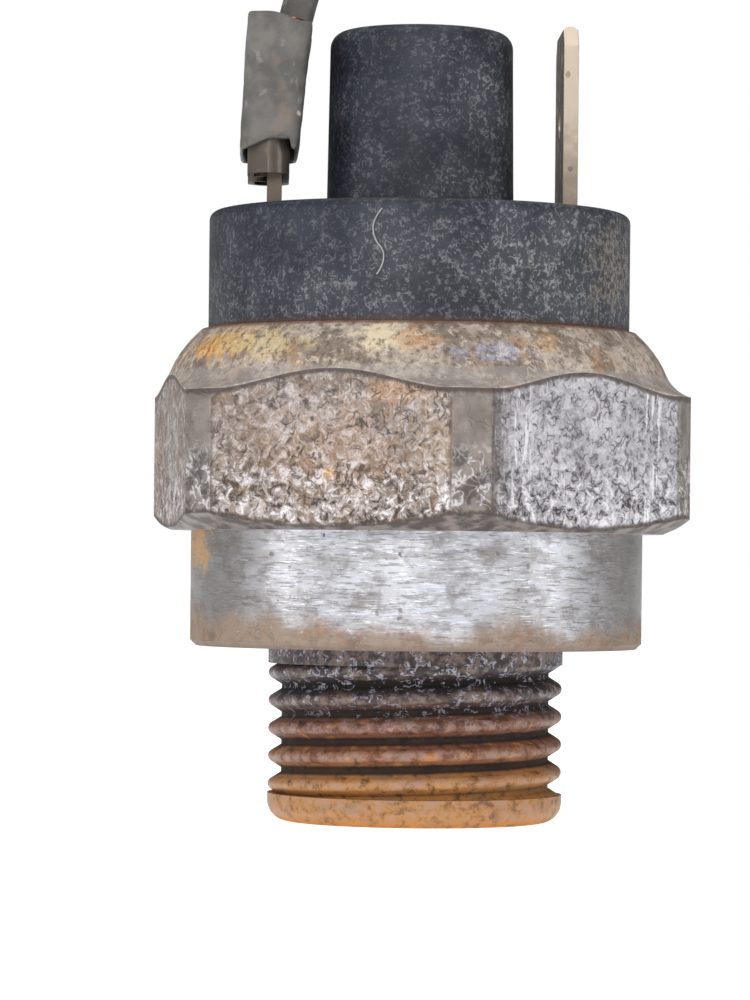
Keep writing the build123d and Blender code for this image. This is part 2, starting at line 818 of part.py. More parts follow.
def bullet_plug():
    """Crimp barrel and round-nosed bullet with a snap groove, in its own axes."""
    nose_z = barrel_length + bullet_length
    body = disc(barrel_r, 0, barrel_length + lap) + disc(bullet_r, barrel_length, bullet_length)
    body = fillet(ring_edges(body, bullet_r, nose_z), bullet_nose)
    groove = tube(
        bullet_r + overrun,
        bullet_r - bullet_groove_depth,
        barrel_length + bullet_groove_at,
        bullet_groove_w,
    )
    bore = disc(barrel_bore_r, -overrun, barrel_length - barrel_floor + overrun)
    return plug_place() * (body - groove - bore)


def bullet_strands():
    """Bare strands in the bullet's barrel."""
    return plug_place() * disc(barrel_bore_r, 0, barrel_length - barrel_floor)


def bullet_sleeve():
    """Soft sleeve over the barrel and the lead's last stretch."""
    sleeve_r = barrel_r + bullet_sleeve_wall
    outer = disc(sleeve_r, -bullet_sleeve_lead, bullet_sleeve_lead + barrel_length)
    outer = fillet(ring_edges(outer, sleeve_r, -bullet_sleeve_lead), bullet_sleeve_edge)
    lead_bore = disc(lead_d / 2, -bullet_sleeve_lead - overrun, bullet_sleeve_lead + overrun + lap)
    return plug_place() * (outer - lead_bore - disc(barrel_r, 0, barrel_length + overrun))


# ---- build -------------------------------------------------------------------------------

right_terminal = terminal()
right_fixed_contact = fixed_contact()
right_bridge_contact = bridge_contact()

save("hex_body", hex_body())
save("diaphragm_seal", seal_ring(seal_mean_r, seal_width, seal_height, body_floor_z - seal_height))
save("diaphragm", diaphragm())
save("support_ring", support_ring())
save("piston", piston())
save("push_pin", push_pin())
save("contact_base", contact_base())
save("contact_bridge", contact_bridge())
save("bridge_contact_right", right_bridge_contact)
save("bridge_contact_left", mirrored(right_bridge_contact))
save("fixed_contact_right", right_fixed_contact)
save("fixed_contact_left", mirrored(right_fixed_contact))
save("terminal_right", right_terminal)
save("terminal_left", mirrored(right_terminal))
save("cap", cap())
save("cap_seal", cap_seal())
save("range_spring", range_spring())
save("lower_spring_seat", lower_spring_seat())
save("upper_spring_seat", upper_spring_seat())
save("threaded_insert", threaded_insert())
save("adjusting_screw", adjusting_screw())
save("tower_plug", tower_plug())
save("receptacle", receptacle())
save("receptacle_sleeve", receptacle_sleeve())
save("lead_strands", lead_strands())
save("lead", lead())
save("bullet_plug", bullet_plug())
save("bullet_strands", bullet_strands())
save("bullet_sleeve", bullet_sleeve())
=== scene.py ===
"""Screw-in pressure switch: finished meshes, materials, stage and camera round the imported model."""
import logging
import math
import random
from dataclasses import dataclass
from enum import Enum
from typing import Callable, Optional, Sequence, Union

import bmesh
import bpy
from mathutils import Matrix, Vector


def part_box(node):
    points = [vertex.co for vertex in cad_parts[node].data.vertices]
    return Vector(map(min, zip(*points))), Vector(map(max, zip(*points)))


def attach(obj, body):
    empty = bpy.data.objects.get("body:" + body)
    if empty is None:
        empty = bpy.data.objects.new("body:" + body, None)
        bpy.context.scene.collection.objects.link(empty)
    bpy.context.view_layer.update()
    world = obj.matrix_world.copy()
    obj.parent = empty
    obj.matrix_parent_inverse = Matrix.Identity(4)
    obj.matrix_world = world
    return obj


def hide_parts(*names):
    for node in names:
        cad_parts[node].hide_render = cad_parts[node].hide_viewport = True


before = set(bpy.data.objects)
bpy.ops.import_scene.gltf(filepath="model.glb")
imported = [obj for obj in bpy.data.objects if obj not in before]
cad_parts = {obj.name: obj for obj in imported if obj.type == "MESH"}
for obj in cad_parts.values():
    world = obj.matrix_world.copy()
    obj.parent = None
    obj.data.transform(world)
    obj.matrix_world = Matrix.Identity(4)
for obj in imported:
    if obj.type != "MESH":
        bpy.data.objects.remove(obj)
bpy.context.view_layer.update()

logging.basicConfig(level=logging.INFO, format="%(message)s")
log = logging.getLogger("pressure_switch")

MM = 0.001

Socket = bpy.types.NodeSocket
Value = Union[float, Sequence[float], Socket]
Colour = tuple[float, float, float]


class Relief(Enum):
    """Depth of the fine relief of a finish, in metres."""

    POLISHED = 0.000004
    MOULDED = 0.00002
    CORRODED = 0.00006


# ---- wiring of node trees ---------------------------------------------------------------------


class Wiring:
    """Adds nodes to one node tree and joins them, so that a recipe reads like a formula."""

    def __init__(self, tree: bpy.types.NodeTree) -> None:
        """Work on one tree.

        Args:
            tree: the material's node tree or a shader node group.
        """
        self.tree = tree

    def node(self, kind: str, **settings: object) -> bpy.types.Node:
        """Add a node.

        Args:
            kind: the node's type name.
            settings: properties of the node.

        Returns:
            The new node.
        """
        made = self.tree.nodes.new(kind)
        for name, value in settings.items():
            setattr(made, name, value)
        return made

    def feed(self, socket: Socket, value: Value) -> None:
        """Link a socket to another, or set its own value.

        Args:
            socket: the input.
            value: an output socket, a number, or a colour or vector.
        """
        if isinstance(value, Socket):
            self.tree.links.new(value, socket)
        elif socket.type == "RGBA":
            socket.default_value = (*value[:3], 1.0)
        else:
            socket.default_value = value

    def math(self, operation: str, first: Value, second: Value = 0.0, clamp: bool = False) -> Socket:
        """One step of arithmetic on numbers.

        Args:
            operation: the Math node's operation.
            first: the first number.
            second: the second number.
            clamp: whether the result stays between 0 and 1.

        Returns:
            The result.
        """
        made = self.node("ShaderNodeMath", operation=operation, use_clamp=clamp)
        self.feed(made.inputs[0], first)
        self.feed(made.inputs[1], second)
        return made.outputs[0]

    def times(self, *values: Value) -> Socket:
        """Product of several numbers.

        Args:
            values: two or more numbers.

        Returns:
            The product.
        """
        product = values[0]
        for value in values[1:]:
            product = self.math("MULTIPLY", product, value)
        return product

    def invert(self, value: Value) -> Socket:
        """One less a mask."""
        return self.math("SUBTRACT", 1.0, value)

    def either(self, first: Value, second: Value) -> Socket:
        """The larger of two masks."""
        return self.math("MAXIMUM", first, second)

    def stretch(self, place: Value, factors: Sequence[float]) -> Socket:
        """Scale a place by a factor along each axis.

        Args:
            place: the place.
            factors: the factor along X, Y and Z.

        Returns:
            The scaled place.
        """
        made = self.node("ShaderNodeVectorMath", operation="MULTIPLY")
        self.feed(made.inputs[0], place)
        self.feed(made.inputs[1], factors)
        return made.outputs[0]

    def shift(self, place: Value, by: Sequence[float]) -> Socket:
        """Move a place, so that one pattern isn't laid on another.

        Args:
            place: the place.
            by: the move along X, Y and Z.

        Returns:
            The moved place.
        """
        made = self.node("ShaderNodeVectorMath", operation="ADD")
        self.feed(made.inputs[0], place)
        self.feed(made.inputs[1], by)
        return made.outputs[0]

    def noise(
        self, place: Value, scale: Value, detail: float = 2.0, rough: float = 0.5, warp: float = 0.0
    ) -> Socket:
        """Cloudy noise, about 0 to 1.

        Args:
            place: where it is read.
            scale: blobs to a unit of place.
            detail: octaves.
            rough: how strong the finer octaves are.
            warp: how far the pattern is twisted.

        Returns:
            The noise.
        """
        made = self.node("ShaderNodeTexNoise")
        self.feed(made.inputs["Vector"], place)
        self.feed(made.inputs["Scale"], scale)
        made.inputs["Detail"].default_value = detail
        made.inputs["Roughness"].default_value = rough
        made.inputs["Distortion"].default_value = warp
        return made.outputs[0]

    def step(self, value: Value, low: Value, high: Value) -> Socket:
        """Smooth rise from 0 at low to 1 at high; it falls where low is above high.

        Args:
            value: the number.
            low: where it is 0.
            high: where it is 1.

        Returns:
            The share, from 0 to 1.
        """
        made = self.node("ShaderNodeMapRange", interpolation_type="SMOOTHSTEP", clamp=True)
        self.feed(made.inputs["Value"], value)
        self.feed(made.inputs["From Min"], low)
        self.feed(made.inputs["From Max"], high)
        return made.outputs[0]

    def within(self, value: Value, low: float, high: float, soft: float) -> Socket:
        """Mask of a number's stay between two limits.

        Args:
            value: the number.
            low: the lower limit.
            high: the upper limit.
            soft: half the width of each edge.

        Returns:
            The mask.
        """
        rise = self.step(value, low - soft, low + soft)
        fall = self.step(value, high + soft, high - soft)
        return self.times(rise, fall)

    def mix(self, share: Value, under: Value, over: Value) -> Socket:
        """Lay one colour over another.

        Args:
            share: how much of the upper colour shows.
            under: the lower colour.
            over: the upper colour.

        Returns:
            The mixed colour.
        """
        made = self.node("ShaderNodeMix", data_type="RGBA")
        self.feed(made.inputs[0], share)
        self.feed(made.inputs[6], under)
        self.feed(made.inputs[7], over)
        return made.outputs[2]

    def blend_values(self, share: Value, under: Value, over: Value) -> Socket:
        """A number between two others.

        Args:
            share: 0 for the first, 1 for the second.
            under: the first number.
            over: the second number.

        Returns:
            The number between them.
        """
        made = self.node("ShaderNodeMix", data_type="FLOAT")
        self.feed(made.inputs[0], share)
        self.feed(made.inputs[2], under)
        self.feed(made.inputs[3], over)
        return made.outputs[0]

    def effect(self, group: bpy.types.NodeTree, **values: Value) -> bpy.types.NodeOutputs:
        """Place a node group.

        Args:
            group: the group.
            values: its inputs by name, with spaces written as underscores.

        Returns:
            The group's outputs.
        """
        made = self.node("ShaderNodeGroup", node_tree=group)
        for name, value in values.items():
            self.feed(made.inputs[name.replace("_", " ")], value)
        return made.outputs


def new_effect(
    name: str, inputs: dict[str, tuple[str, float]], outputs: dict[str, str],
    recipe: Callable[[Wiring, dict[str, Socket]], dict[str, Socket]],
) -> bpy.types.NodeTree:
    """Make a shader node group.

    Args:
        name: the group's name.
        inputs: each input's socket kind and starting value; a vector has no starting value.
        outputs: each output's socket kind.
        recipe: wires the inside, from input sockets to output sockets.

    Returns:
        The group.
    """
    tree = bpy.data.node_groups.new(name, "ShaderNodeTree")
    for label, (kind, start) in inputs.items():
        socket = tree.interface.new_socket(label, in_out="INPUT", socket_type=f"NodeSocket{kind}")
        if kind == "Float":
            socket.default_value = start
    for label, kind in outputs.items():
        tree.interface.new_socket(label, in_out="OUTPUT", socket_type=f"NodeSocket{kind}")
    wiring = Wiring(tree)
    given = wiring.node("NodeGroupInput")
    result = wiring.node("NodeGroupOutput")
    made = recipe(wiring, {label: given.outputs[label] for label in inputs})
    for label, socket in made.items():
        wiring.feed(result.inputs[label], socket)
    return tree


PLACE = {"Place": ("Vector", 0.0)}


class Effects:
    """Effects that several finishes share. Every place in them is in millimetres."""

    def __init__(self) -> None:
        """Build each group once."""
        self.squiggles = new_effect(
            "squiggles",
            PLACE | {"Scale": ("Float", 2.0), "Width": ("Float", 0.05), "Gaps": ("Float", 0.5)},
            {"Mask": "Float"},
            self._squiggles,
        )
        self.pits = new_effect(
            "pits",
            PLACE | {"Scale": ("Float", 1.0), "Size": ("Float", 0.3), "Share": ("Float", 0.3)},
            {"Mask": "Float"},
            self._pits,
        )
        self.scratches = new_effect(
            "scratches",
            PLACE | {"Scale": ("Float", 4.0), "Share": ("Float", 0.3)},
            {"Mask": "Float"},
            self._scratches,
        )
        self.rust = new_effect(
            "rust",
            PLACE | {"Amount": ("Float", 0.5), "Warmth": ("Float", 0.5)},
            {"Mask": "Float", "Colour": "Color", "Height": "Float"},
            self._rust,
        )
        self.stain = new_effect(
            "stain",
            PLACE | {"Centre": ("Vector", 0.0), "Reach": ("Vector", 0.0), "Ragged": ("Float", 0.4)},
            {"Mask": "Float"},
            self._stain,
        )
        self.grain = new_effect(
            "grain",
            PLACE | {"Scale": ("Float", 8.0)},
            {"Mask": "Float", "Height": "Float"},
            self._grain,
        )

    @staticmethod
    def _squiggles(w: Wiring, given: dict[str, Socket]) -> dict[str, Socket]:
        """Short curly lines, as corrosion leaves on plated steel and dust on plastic."""
        cloud = w.noise(given["Place"], given["Scale"], detail=1.5, rough=0.6, warp=0.7)
        off_line = w.math("ABSOLUTE", w.math("SUBTRACT", cloud, 0.5))
        line = w.step(off_line, given["Width"], 0.0)
        finer = w.math("MULTIPLY", given["Scale"], 0.8)
        parts = w.noise(w.shift(given["Place"], (31.0, 7.0, 13.0)), finer, detail=2.0)
        shown = w.step(parts, given["Gaps"], w.math("ADD", given["Gaps"], 0.08))
        return {"Mask": w.times(line, shown)}

    @staticmethod
    def _pits(w: Wiring, given: dict[str, Socket]) -> dict[str, Socket]:
        """Small round spots, only some of which are there."""
        bent = w.node("ShaderNodeTexNoise")
        w.feed(bent.inputs["Vector"], given["Place"])
        w.feed(bent.inputs["Scale"], given["Scale"])
        push = w.node("ShaderNodeVectorMath", operation="MULTIPLY_ADD")
        w.feed(push.inputs[0], bent.outputs["Color"])
        w.feed(push.inputs[1], (0.5, 0.5, 0.5))
        w.feed(push.inputs[2], given["Place"])
        cells = w.node("ShaderNodeTexVoronoi")
        w.feed(cells.inputs["Vector"], push.outputs[0])
        w.feed(cells.inputs["Scale"], given["Scale"])
        split = w.node("ShaderNodeSeparateColor")
        w.feed(split.inputs[0], cells.outputs["Color"])
        there = w.step(split.outputs[0], given["Share"], w.math("SUBTRACT", given["Share"], 0.05))
        size = w.times(given["Size"], w.math("ADD", split.outputs[1], 0.3))
        spot = w.step(cells.outputs["Distance"], size, w.math("MULTIPLY", size, 0.6))
        return {"Mask": w.times(spot, there)}

    @staticmethod
    def _scratches(w: Wiring, given: dict[str, Socket]) -> dict[str, Socket]:
        """Fine lines round the axis, broken along their length."""
        drawn = w.stretch(given["Place"], (0.1, 0.1, 1.0))
        lines = w.noise(drawn, given["Scale"], detail=3.0, rough=0.7)
        edge = w.math("SUBTRACT", 0.75, w.math("MULTIPLY", given["Share"], 0.4))
        return {"Mask": w.step(lines, edge, w.math("ADD", edge, 0.05))}

    @staticmethod
    def _rust(w: Wiring, given: dict[str, Socket]) -> dict[str, Socket]:
        """Rust that spreads with its amount, from dark brown to orange and ochre."""
        place = given["Place"]
        spread = w.noise(place, 0.55, detail=7.0, rough=0.68, warp=0.3)
        reach = w.blend_values(given["Amount"], 0.88, 0.22)
        mask = w.step(spread, reach, w.math("ADD", reach, 0.14))
        cloud = w.noise(w.shift(place, (5.0, 9.0, 2.0)), 1.3, detail=5.0, rough=0.65)
        tone = w.math("ADD", cloud, w.math("SUBTRACT", given["Warmth"], 0.5))
        dark = w.mix(w.step(tone, 0.3, 0.55), (0.045, 0.022, 0.014), (0.19, 0.075, 0.028))
        colour = w.mix(w.step(tone, 0.5, 0.8), dark, (0.52, 0.25, 0.07))
        fine = w.noise(place, 5.0, detail=4.0, rough=0.7)
        return {"Mask": mask, "Colour": colour, "Height": w.times(mask, fine)}

    @staticmethod
    def _stain(w: Wiring, given: dict[str, Socket]) -> dict[str, Socket]:
        """A patch round one place, with a ragged edge."""
        away = w.node("ShaderNodeVectorMath", operation="SUBTRACT")
        w.feed(away.inputs[0], given["Place"])
        w.feed(away.inputs[1], given["Centre"])
        share = w.node("ShaderNodeVectorMath", operation="DIVIDE")
        w.feed(share.inputs[0], away.outputs[0])
        w.feed(share.inputs[1], given["Reach"])
        length = w.node("ShaderNodeVectorMath", operation="LENGTH")
        w.feed(length.inputs[0], share.outputs[0])
        rag = w.math("SUBTRACT", w.noise(given["Place"], 1.1, detail=7.0, rough=0.72), 0.5)
        edge = w.math("ADD", length.outputs["Value"], w.times(rag, given["Ragged"], 9.0))
        return {"Mask": w.step(edge, 1.25, 0.45)}

    @staticmethod
    def _grain(w: Wiring, given: dict[str, Socket]) -> dict[str, Socket]:
        """Fine even grain, for moulded and blasted surfaces."""
        fine = w.noise(given["Place"], given["Scale"], detail=3.0, rough=0.6)
        return {"Mask": w.step(fine, 0.42, 0.62), "Height": fine}


# ---- finishes ---------------------------------------------------------------------------------


@dataclass(frozen=True)
class Surface:
    """What a recipe gives the shader: colour, roughness, metal and relief."""

    colour: Value
    roughness: Value
    metallic: Value = 0.0
    height: Optional[Socket] = None
    relief: Relief = Relief.MOULDED
    specular: float = 0.5


class Finish:
    """A material made from a recipe, once, and given to any number of pieces."""

    def __init__(self, name: str, effects: Effects) -> None:
        """Make the material.

        Args:
            name: the material's name.
            effects: the shared effects.
        """
        self.effects = effects
        self.material = bpy.data.materials.new(name)
        self.material.use_nodes = True
        tree = self.material.node_tree
        wiring = Wiring(tree)
        where = wiring.node("ShaderNodeTexCoord")
        place = wiring.stretch(where.outputs["Object"], (1 / MM, 1 / MM, 1 / MM))
        surface = self.recipe(wiring, place)
        shader = tree.nodes["Principled BSDF"]
        wiring.feed(shader.inputs["Base Color"], surface.colour)
        wiring.feed(shader.inputs["Roughness"], surface.roughness)
        wiring.feed(shader.inputs["Metallic"], surface.metallic)
        shader.inputs["Specular IOR Level"].default_value = surface.specular
        if surface.height is not None:
            bump = wiring.node("ShaderNodeBump")
            bump.inputs["Distance"].default_value = surface.relief.value
            wiring.feed(bump.inputs["Height"], surface.height)
            wiring.feed(shader.inputs["Normal"], bump.outputs[0])

    def recipe(self, w: Wiring, place: Socket) -> Surface:
        """Wire the finish.

        Args:
            w: the material's wiring.
            place: the place on the piece, in millimetres.

        Returns:
            The finished surface.
        """
        raise NotImplementedError

    def dress(self, piece: bpy.types.Object) -> None:
        """Give the finish to a piece, in place of any it has."""
        piece.data.materials.clear()
        piece.data.materials.append(self.material)


@dataclass(frozen=True)
class BodySizes:
    """Sizes of the steel body that its finish follows, in millimetres."""

    collar_top: float = 6.2
    face_top: float = 14.55
    corner_top: float = 13.5
    lip_top: float = 17.0
    land_r: float = 13.3
    flat_r: float = 13.5
    corner_r: float = 15.07
    low_bevel_angle: float = 24.0
    thread_r: float = 8.2


@dataclass(frozen=True)
class BodyZones:
    """Masks that tell the zones of the steel body apart."""

    collar: Socket
    underside: Socket
    thread: Socket
    shoulder: Socket
    low_bevel: Socket
    edge_line: Socket
    corner: Socket
    corner_line: Socket


@dataclass(frozen=True)
class Patch:
    """A stain at one place on the body: where, how far it reaches, its colour and strength."""

    centre: tuple[float, float, float]
    reach: tuple[float, float, float]
    colour: Colour
    strength: float
    ragged: float = 0.4


SHOULDER_PATCHES = (
    Patch((-10.3, -7.6, 16.0), (2.6, 4.0, 0.9), (0.62, 0.36, 0.10), 0.75),
    Patch((-11.3, -6.4, 15.5), (0.9, 2.0, 0.5), (0.66, 0.30, 0.05), 0.8),
    Patch((-8.4, -10.0, 15.8), (2.4, 4.0, 0.8), (0.60, 0.47, 0.26), 0.7),
    Patch((-2.4, -12.7, 16.1), (1.5, 4.0, 0.9), (0.74, 0.62, 0.42), 0.85),
    Patch((-0.6, -12.8, 16.0), (1.2, 4.0, 0.6), (0.50, 0.28, 0.12), 0.6),
    Patch((3.6, -12.8, 15.4), (2.4, 4.0, 0.5), (0.33, 0.33, 0.42), 0.75),
    Patch((6.2, -11.6, 16.0), (0.9, 4.0, 0.6), (0.52, 0.30, 0.13), 0.55),
    Patch((8.6, 9.4, 16.0), (3.0, 3.0, 0.9), (0.60, 0.42, 0.20), 0.6),
    Patch((-6.0, 11.5, 15.8), (2.2, 4.0, 0.9), (0.56, 0.30, 0.09), 0.7),
)
FACE_PATCHES = (
    Patch((-4.6, -13.0, 10.2), (4.2, 6.0, 2.4), (0.36, 0.22, 0.14), 0.5),
    Patch((-4.9, -13.0, 9.1), (0.34, 2.0, 0.34), (0.60, 0.28, 0.06), 0.9),
    Patch((-1.7, -13.5, 13.3), (1.6, 3.0, 0.7), (0.46, 0.25, 0.12), 0.55),
    Patch((0.6, -14.0, 10.8), (1.8, 4.0, 2.4), (0.38, 0.28, 0.20), 0.55),
    Patch((4.2, 13.0, 10.0), (4.0, 5.0, 2.6), (0.34, 0.19, 0.10), 0.6),
    Patch((-12.5, 4.0, 9.4), (4.0, 4.0, 2.4), (0.34, 0.20, 0.11), 0.5),
)


class WornSteel(Finish):
    """Plated steel body: pitted hex faces, turned collar, rusty shoulder and rusted thread."""

    sizes = BodySizes()

    def patches(self, w: Wiring, place: Socket, under: Value, patches: Sequence[Patch]) -> Socket:
        """Lay stains over a colour.

        Args:
            w: the material's wiring.
            place: the place on the body.
            under: the colour below.
            patches: the stains.

        Returns:
            The stained colour.
        """
        colour = under
        for patch in patches:
            mask = w.effect(
                self.effects.stain, Place=place, Centre=patch.centre, Reach=patch.reach, Ragged=patch.ragged
            )[0]
            colour = w.mix(w.times(mask, patch.strength), colour, patch.colour)
        return colour

    def hex_faces(self, w: Wiring, place: Socket, height: Socket) -> tuple[Socket, Socket]:
        """Milled faces: bright plating eaten by curly dark veins.

        Args:
            w: the material's wiring.
            place: the place on the body.
            height: height up the body.

        Returns:
            The colour, and the relief.
        """
        parts = w.node("ShaderNodeSeparateXYZ")
        w.feed(parts.inputs[0], place)
        across = parts.outputs[0]
        cloud = w.noise(place, 0.35, detail=4.0)
        warm = w.mix(w.step(cloud, 0.38, 0.62), (0.235, 0.185, 0.155), (0.345, 0.295, 0.27))
        cold = w.mix(w.step(cloud, 0.38, 0.62), (0.33, 0.32, 0.345), (0.45, 0.435, 0.465))
        base = w.mix(w.step(across, 1.0, 5.0), warm, cold)
        base = self.patches(w, place, base, FACE_PATCHES)
        low = w.step(height, 10.6, 7.4)
        crystals = w.noise(place, 1.9, detail=6.0, rough=0.78, warp=0.7)
        light = w.step(crystals, 0.50, 0.60)
        base = w.mix(w.times(light, w.blend_values(low, 0.38, 0.90)), base, (0.80, 0.78, 0.80))
        gaps = w.step(crystals, 0.485, 0.40)
        base = w.mix(w.times(gaps, w.blend_values(low, 0.62, 1.0)), base, (0.040, 0.028, 0.024))
        tarnish = w.noise(w.shift(place, (27.0, 11.0, 4.0)), 0.8, detail=6.0, rough=0.7)
        browned = w.times(w.step(tarnish, 0.50, 0.64), w.step(across, 6.0, 1.0), 0.6)
        base = w.mix(browned, base, (0.21, 0.13, 0.07))
        offset = w.shift(place, (17.0, 3.0, 29.0))
        veins = w.effect(self.effects.squiggles, Place=offset, Scale=1.5, Width=0.055, Gaps=0.50)[0]
        base = w.mix(w.times(veins, 0.75), base, (0.04, 0.030, 0.027))
        pits = w.effect(self.effects.pits, Place=place, Scale=1.6, Size=0.24, Share=0.30)[0]
        base = w.mix(w.times(pits, 0.75), base, (0.07, 0.05, 0.045))
        drawn = w.noise(w.stretch(place, (1.0, 1.0, 0.12)), 3.5, detail=3.0, rough=0.7)
        beside_corner = w.times(w.step(across, 1.6, 2.3), w.step(across, 4.6, 3.2))
        base = w.mix(w.times(beside_corner, w.step(drawn, 0.40, 0.52), 0.75), base, (0.10, 0.085, 0.08))
        struck = w.times(w.step(across, 4.2, 4.5), w.step(across, 5.5, 5.2), w.step(drawn, 0.56, 0.62))
        nicked = w.times(w.step(across, 11.3, 11.7), w.step(across, 12.7, 12.3), w.step(drawn, 0.54, 0.60))
        base = w.mix(w.times(w.either(struck, nicked), 0.7), base, (0.84, 0.83, 0.85))
        relief = w.math("SUBTRACT", crystals, w.either(w.times(veins, 0.5), w.times(pits, 0.5)))
        return base, relief

    def collar(self, w: Wiring, place: Socket, height: Socket) -> tuple[Socket, Socket]:
        """Turned collar: bright, scratched round the axis, with dark spots and a rusty lower edge.

        Args:
            w: the material's wiring.
            place: the place on the body.
            height: height up the body.

        Returns:
            The colour, and the mask of what is rusty or dark.
        """
        parts = w.node("ShaderNodeSeparateXYZ")
        w.feed(parts.inputs[0], place)
        across = parts.outputs[0]
        tone = w.noise(w.stretch(place, (0.3, 0.3, 1.0)), 0.9, detail=5.0, rough=0.6)
        base = w.mix(w.step(tone, 0.35, 0.65), (0.46, 0.455, 0.47), (0.66, 0.67, 0.72))
        lines = w.effect(self.effects.scratches, Place=place, Scale=8.0, Share=0.5)[0]
        base = w.mix(w.times(lines, 0.62), base, (0.17, 0.16, 0.16))
        light_lines = w.effect(
            self.effects.scratches, Place=w.shift(place, (9.0, 4.0, 21.0)), Scale=12.0, Share=0.45
        )[0]
        base = w.mix(w.times(light_lines, 0.75), base, (0.90, 0.91, 0.96))
        blotch = w.noise(w.shift(place, (2.0, 8.0, 3.0)), 0.7, detail=6.0, rough=0.65)
        base = w.mix(w.times(w.step(blotch, 0.50, 0.64), 0.5), base, (0.19, 0.16, 0.145))
        drawn_out = w.stretch(w.shift(place, (3.0, 3.0, 1.0)), (0.35, 0.35, 1.0))
        streaks = w.noise(drawn_out, 1.8, detail=6.0, rough=0.7)
        base = w.mix(w.times(w.step(streaks, 0.50, 0.36), 0.55), base, (0.23, 0.215, 0.21))
        # painted shade: both ends of the collar, where the round surface turns away from the light, are
        # painted darker
        shaded_ends = w.step(w.math("ABSOLUTE", across), 6.0, 11.0)
        base = w.mix(w.times(shaded_ends, 0.78), base, (0.155, 0.14, 0.125))
        upper = w.step(height, 3.6, 5.4)
        spots = w.effect(self.effects.pits, Place=place, Scale=1.8, Size=0.32, Share=0.42)[0]
        middle = w.times(w.step(across, -7.5, -5.0), w.step(across, 1.5, -1.5))
        where = w.step(w.noise(place, 0.35, detail=2.0), 0.52, 0.60)
        spots = w.times(spots, w.either(w.times(middle, upper), w.times(where, 0.6)))
        base = w.mix(w.times(spots, 0.85), base, (0.075, 0.05, 0.04))
        wave = w.noise(w.stretch(place, (1.0, 1.0, 0.6)), 0.22, detail=6.0, rough=0.62)
        reach = w.blend_values(w.step(across, 3.0, -8.0), 0.75, 1.7)
        edge = w.math("ADD", w.times(w.math("SUBTRACT", wave, 0.5), 5.0), reach)
        band = w.step(w.math("SUBTRACT", height, edge), 0.9, -0.5)
        film = w.effect(self.effects.rust, Place=place, Amount=0.62, Warmth=0.5)
        brown = w.mix(w.times(film["Mask"], 0.5), (0.27, 0.195, 0.135), film["Colour"])
        clear = w.step(w.noise(w.shift(place, (6.0, 1.0, 9.0)), 2.2, detail=4.0), 0.62, 0.72)
        band = w.times(band, w.blend_values(clear, 1.0, 0.45))
        base = w.mix(w.times(band, 0.9), base, brown)
        foot = w.step(height, 0.45, 0.05)
        base = w.mix(w.times(foot, 0.6), base, (0.13, 0.095, 0.075))
        left = w.effect(
            self.effects.stain, Place=place, Centre=(-11.6, -3.0, 5.2), Reach=(0.9, 3.0, 1.2), Ragged=0.5
        )[0]
        base = w.mix(w.times(left, 0.7), base, (0.52, 0.29, 0.09))
        return base, w.either(w.either(band, spots), left)

    def thread(self, w: Wiring, place: Socket, radius: Socket, height: Socket) -> tuple[Socket, Socket]:
        """Rusted thread: near black under the collar, brown lower down and ochre at the end.

        Args:
            w: the material's wiring.
            place: the place on the body.
            radius: distance from the axis.
            height: height up the body.

        Returns:
            The colour, and the relief.
        """
        wander = w.times(w.math("SUBTRACT", w.noise(place, 0.45, detail=4.0), 0.5), 2.6)
        level = w.math("ADD", height, wander)
        base = w.mix(w.step(level, -2.2, -4.4), (0.030, 0.024, 0.030), (0.17, 0.060, 0.030))
        base = w.mix(w.step(level, -4.6, -6.2), base, (0.25, 0.090, 0.034))
        base = w.mix(w.step(level, -5.7, -7.4), base, (0.42, 0.19, 0.050))
        mottle = w.noise(place, 1.7, detail=6.0, rough=0.7)
        drawn_out = w.stretch(w.shift(place, (8.0, 8.0, 2.0)), (0.3, 0.3, 1.0))
        drab = w.noise(drawn_out, 1.6, detail=5.0, rough=0.7)
        base = w.mix(w.times(w.step(drab, 0.50, 0.62), 0.45), base, (0.20, 0.13, 0.085))
        mud = w.blend_values(w.step(height, -7.2, -8.6), 0.75, 0.5)
        base = w.mix(w.times(w.step(mottle, 0.50, 0.36), mud), base, (0.030, 0.016, 0.011))
        ochre = w.noise(w.shift(place, (12.0, 5.0, 8.0)), 1.1, detail=5.0, rough=0.65)
        lower = w.step(height, -2.5, -5.0)
        base = w.mix(w.times(w.step(ochre, 0.54, 0.66), lower, 0.6), base, (0.52, 0.23, 0.06))
        crest = w.step(radius, 7.6, 7.9)
        base = w.mix(w.times(crest, w.step(mottle, 0.45, 0.6), 0.40), base, (0.36, 0.27, 0.24))
        # painted shade: the roots of the thread are painted near black, where shade falls in the grooves
        root_shade = w.times(w.step(radius, 7.55, 7.28), w.step(height, -8.2, -6.6))
        base = w.mix(w.times(root_shade, 0.92), base, (0.010, 0.006, 0.005))
        # painted highlight: pale bluish curly specks on the upper turns stand in for glints on the dark
        # thread
        high = w.step(height, -5.2, -1.5)
        specks = w.effect(self.effects.squiggles, Place=place, Scale=2.4, Width=0.07, Gaps=0.50)[0]
        base = w.mix(w.times(specks, high, 0.75), base, (0.50, 0.49, 0.58))
        return base, mottle

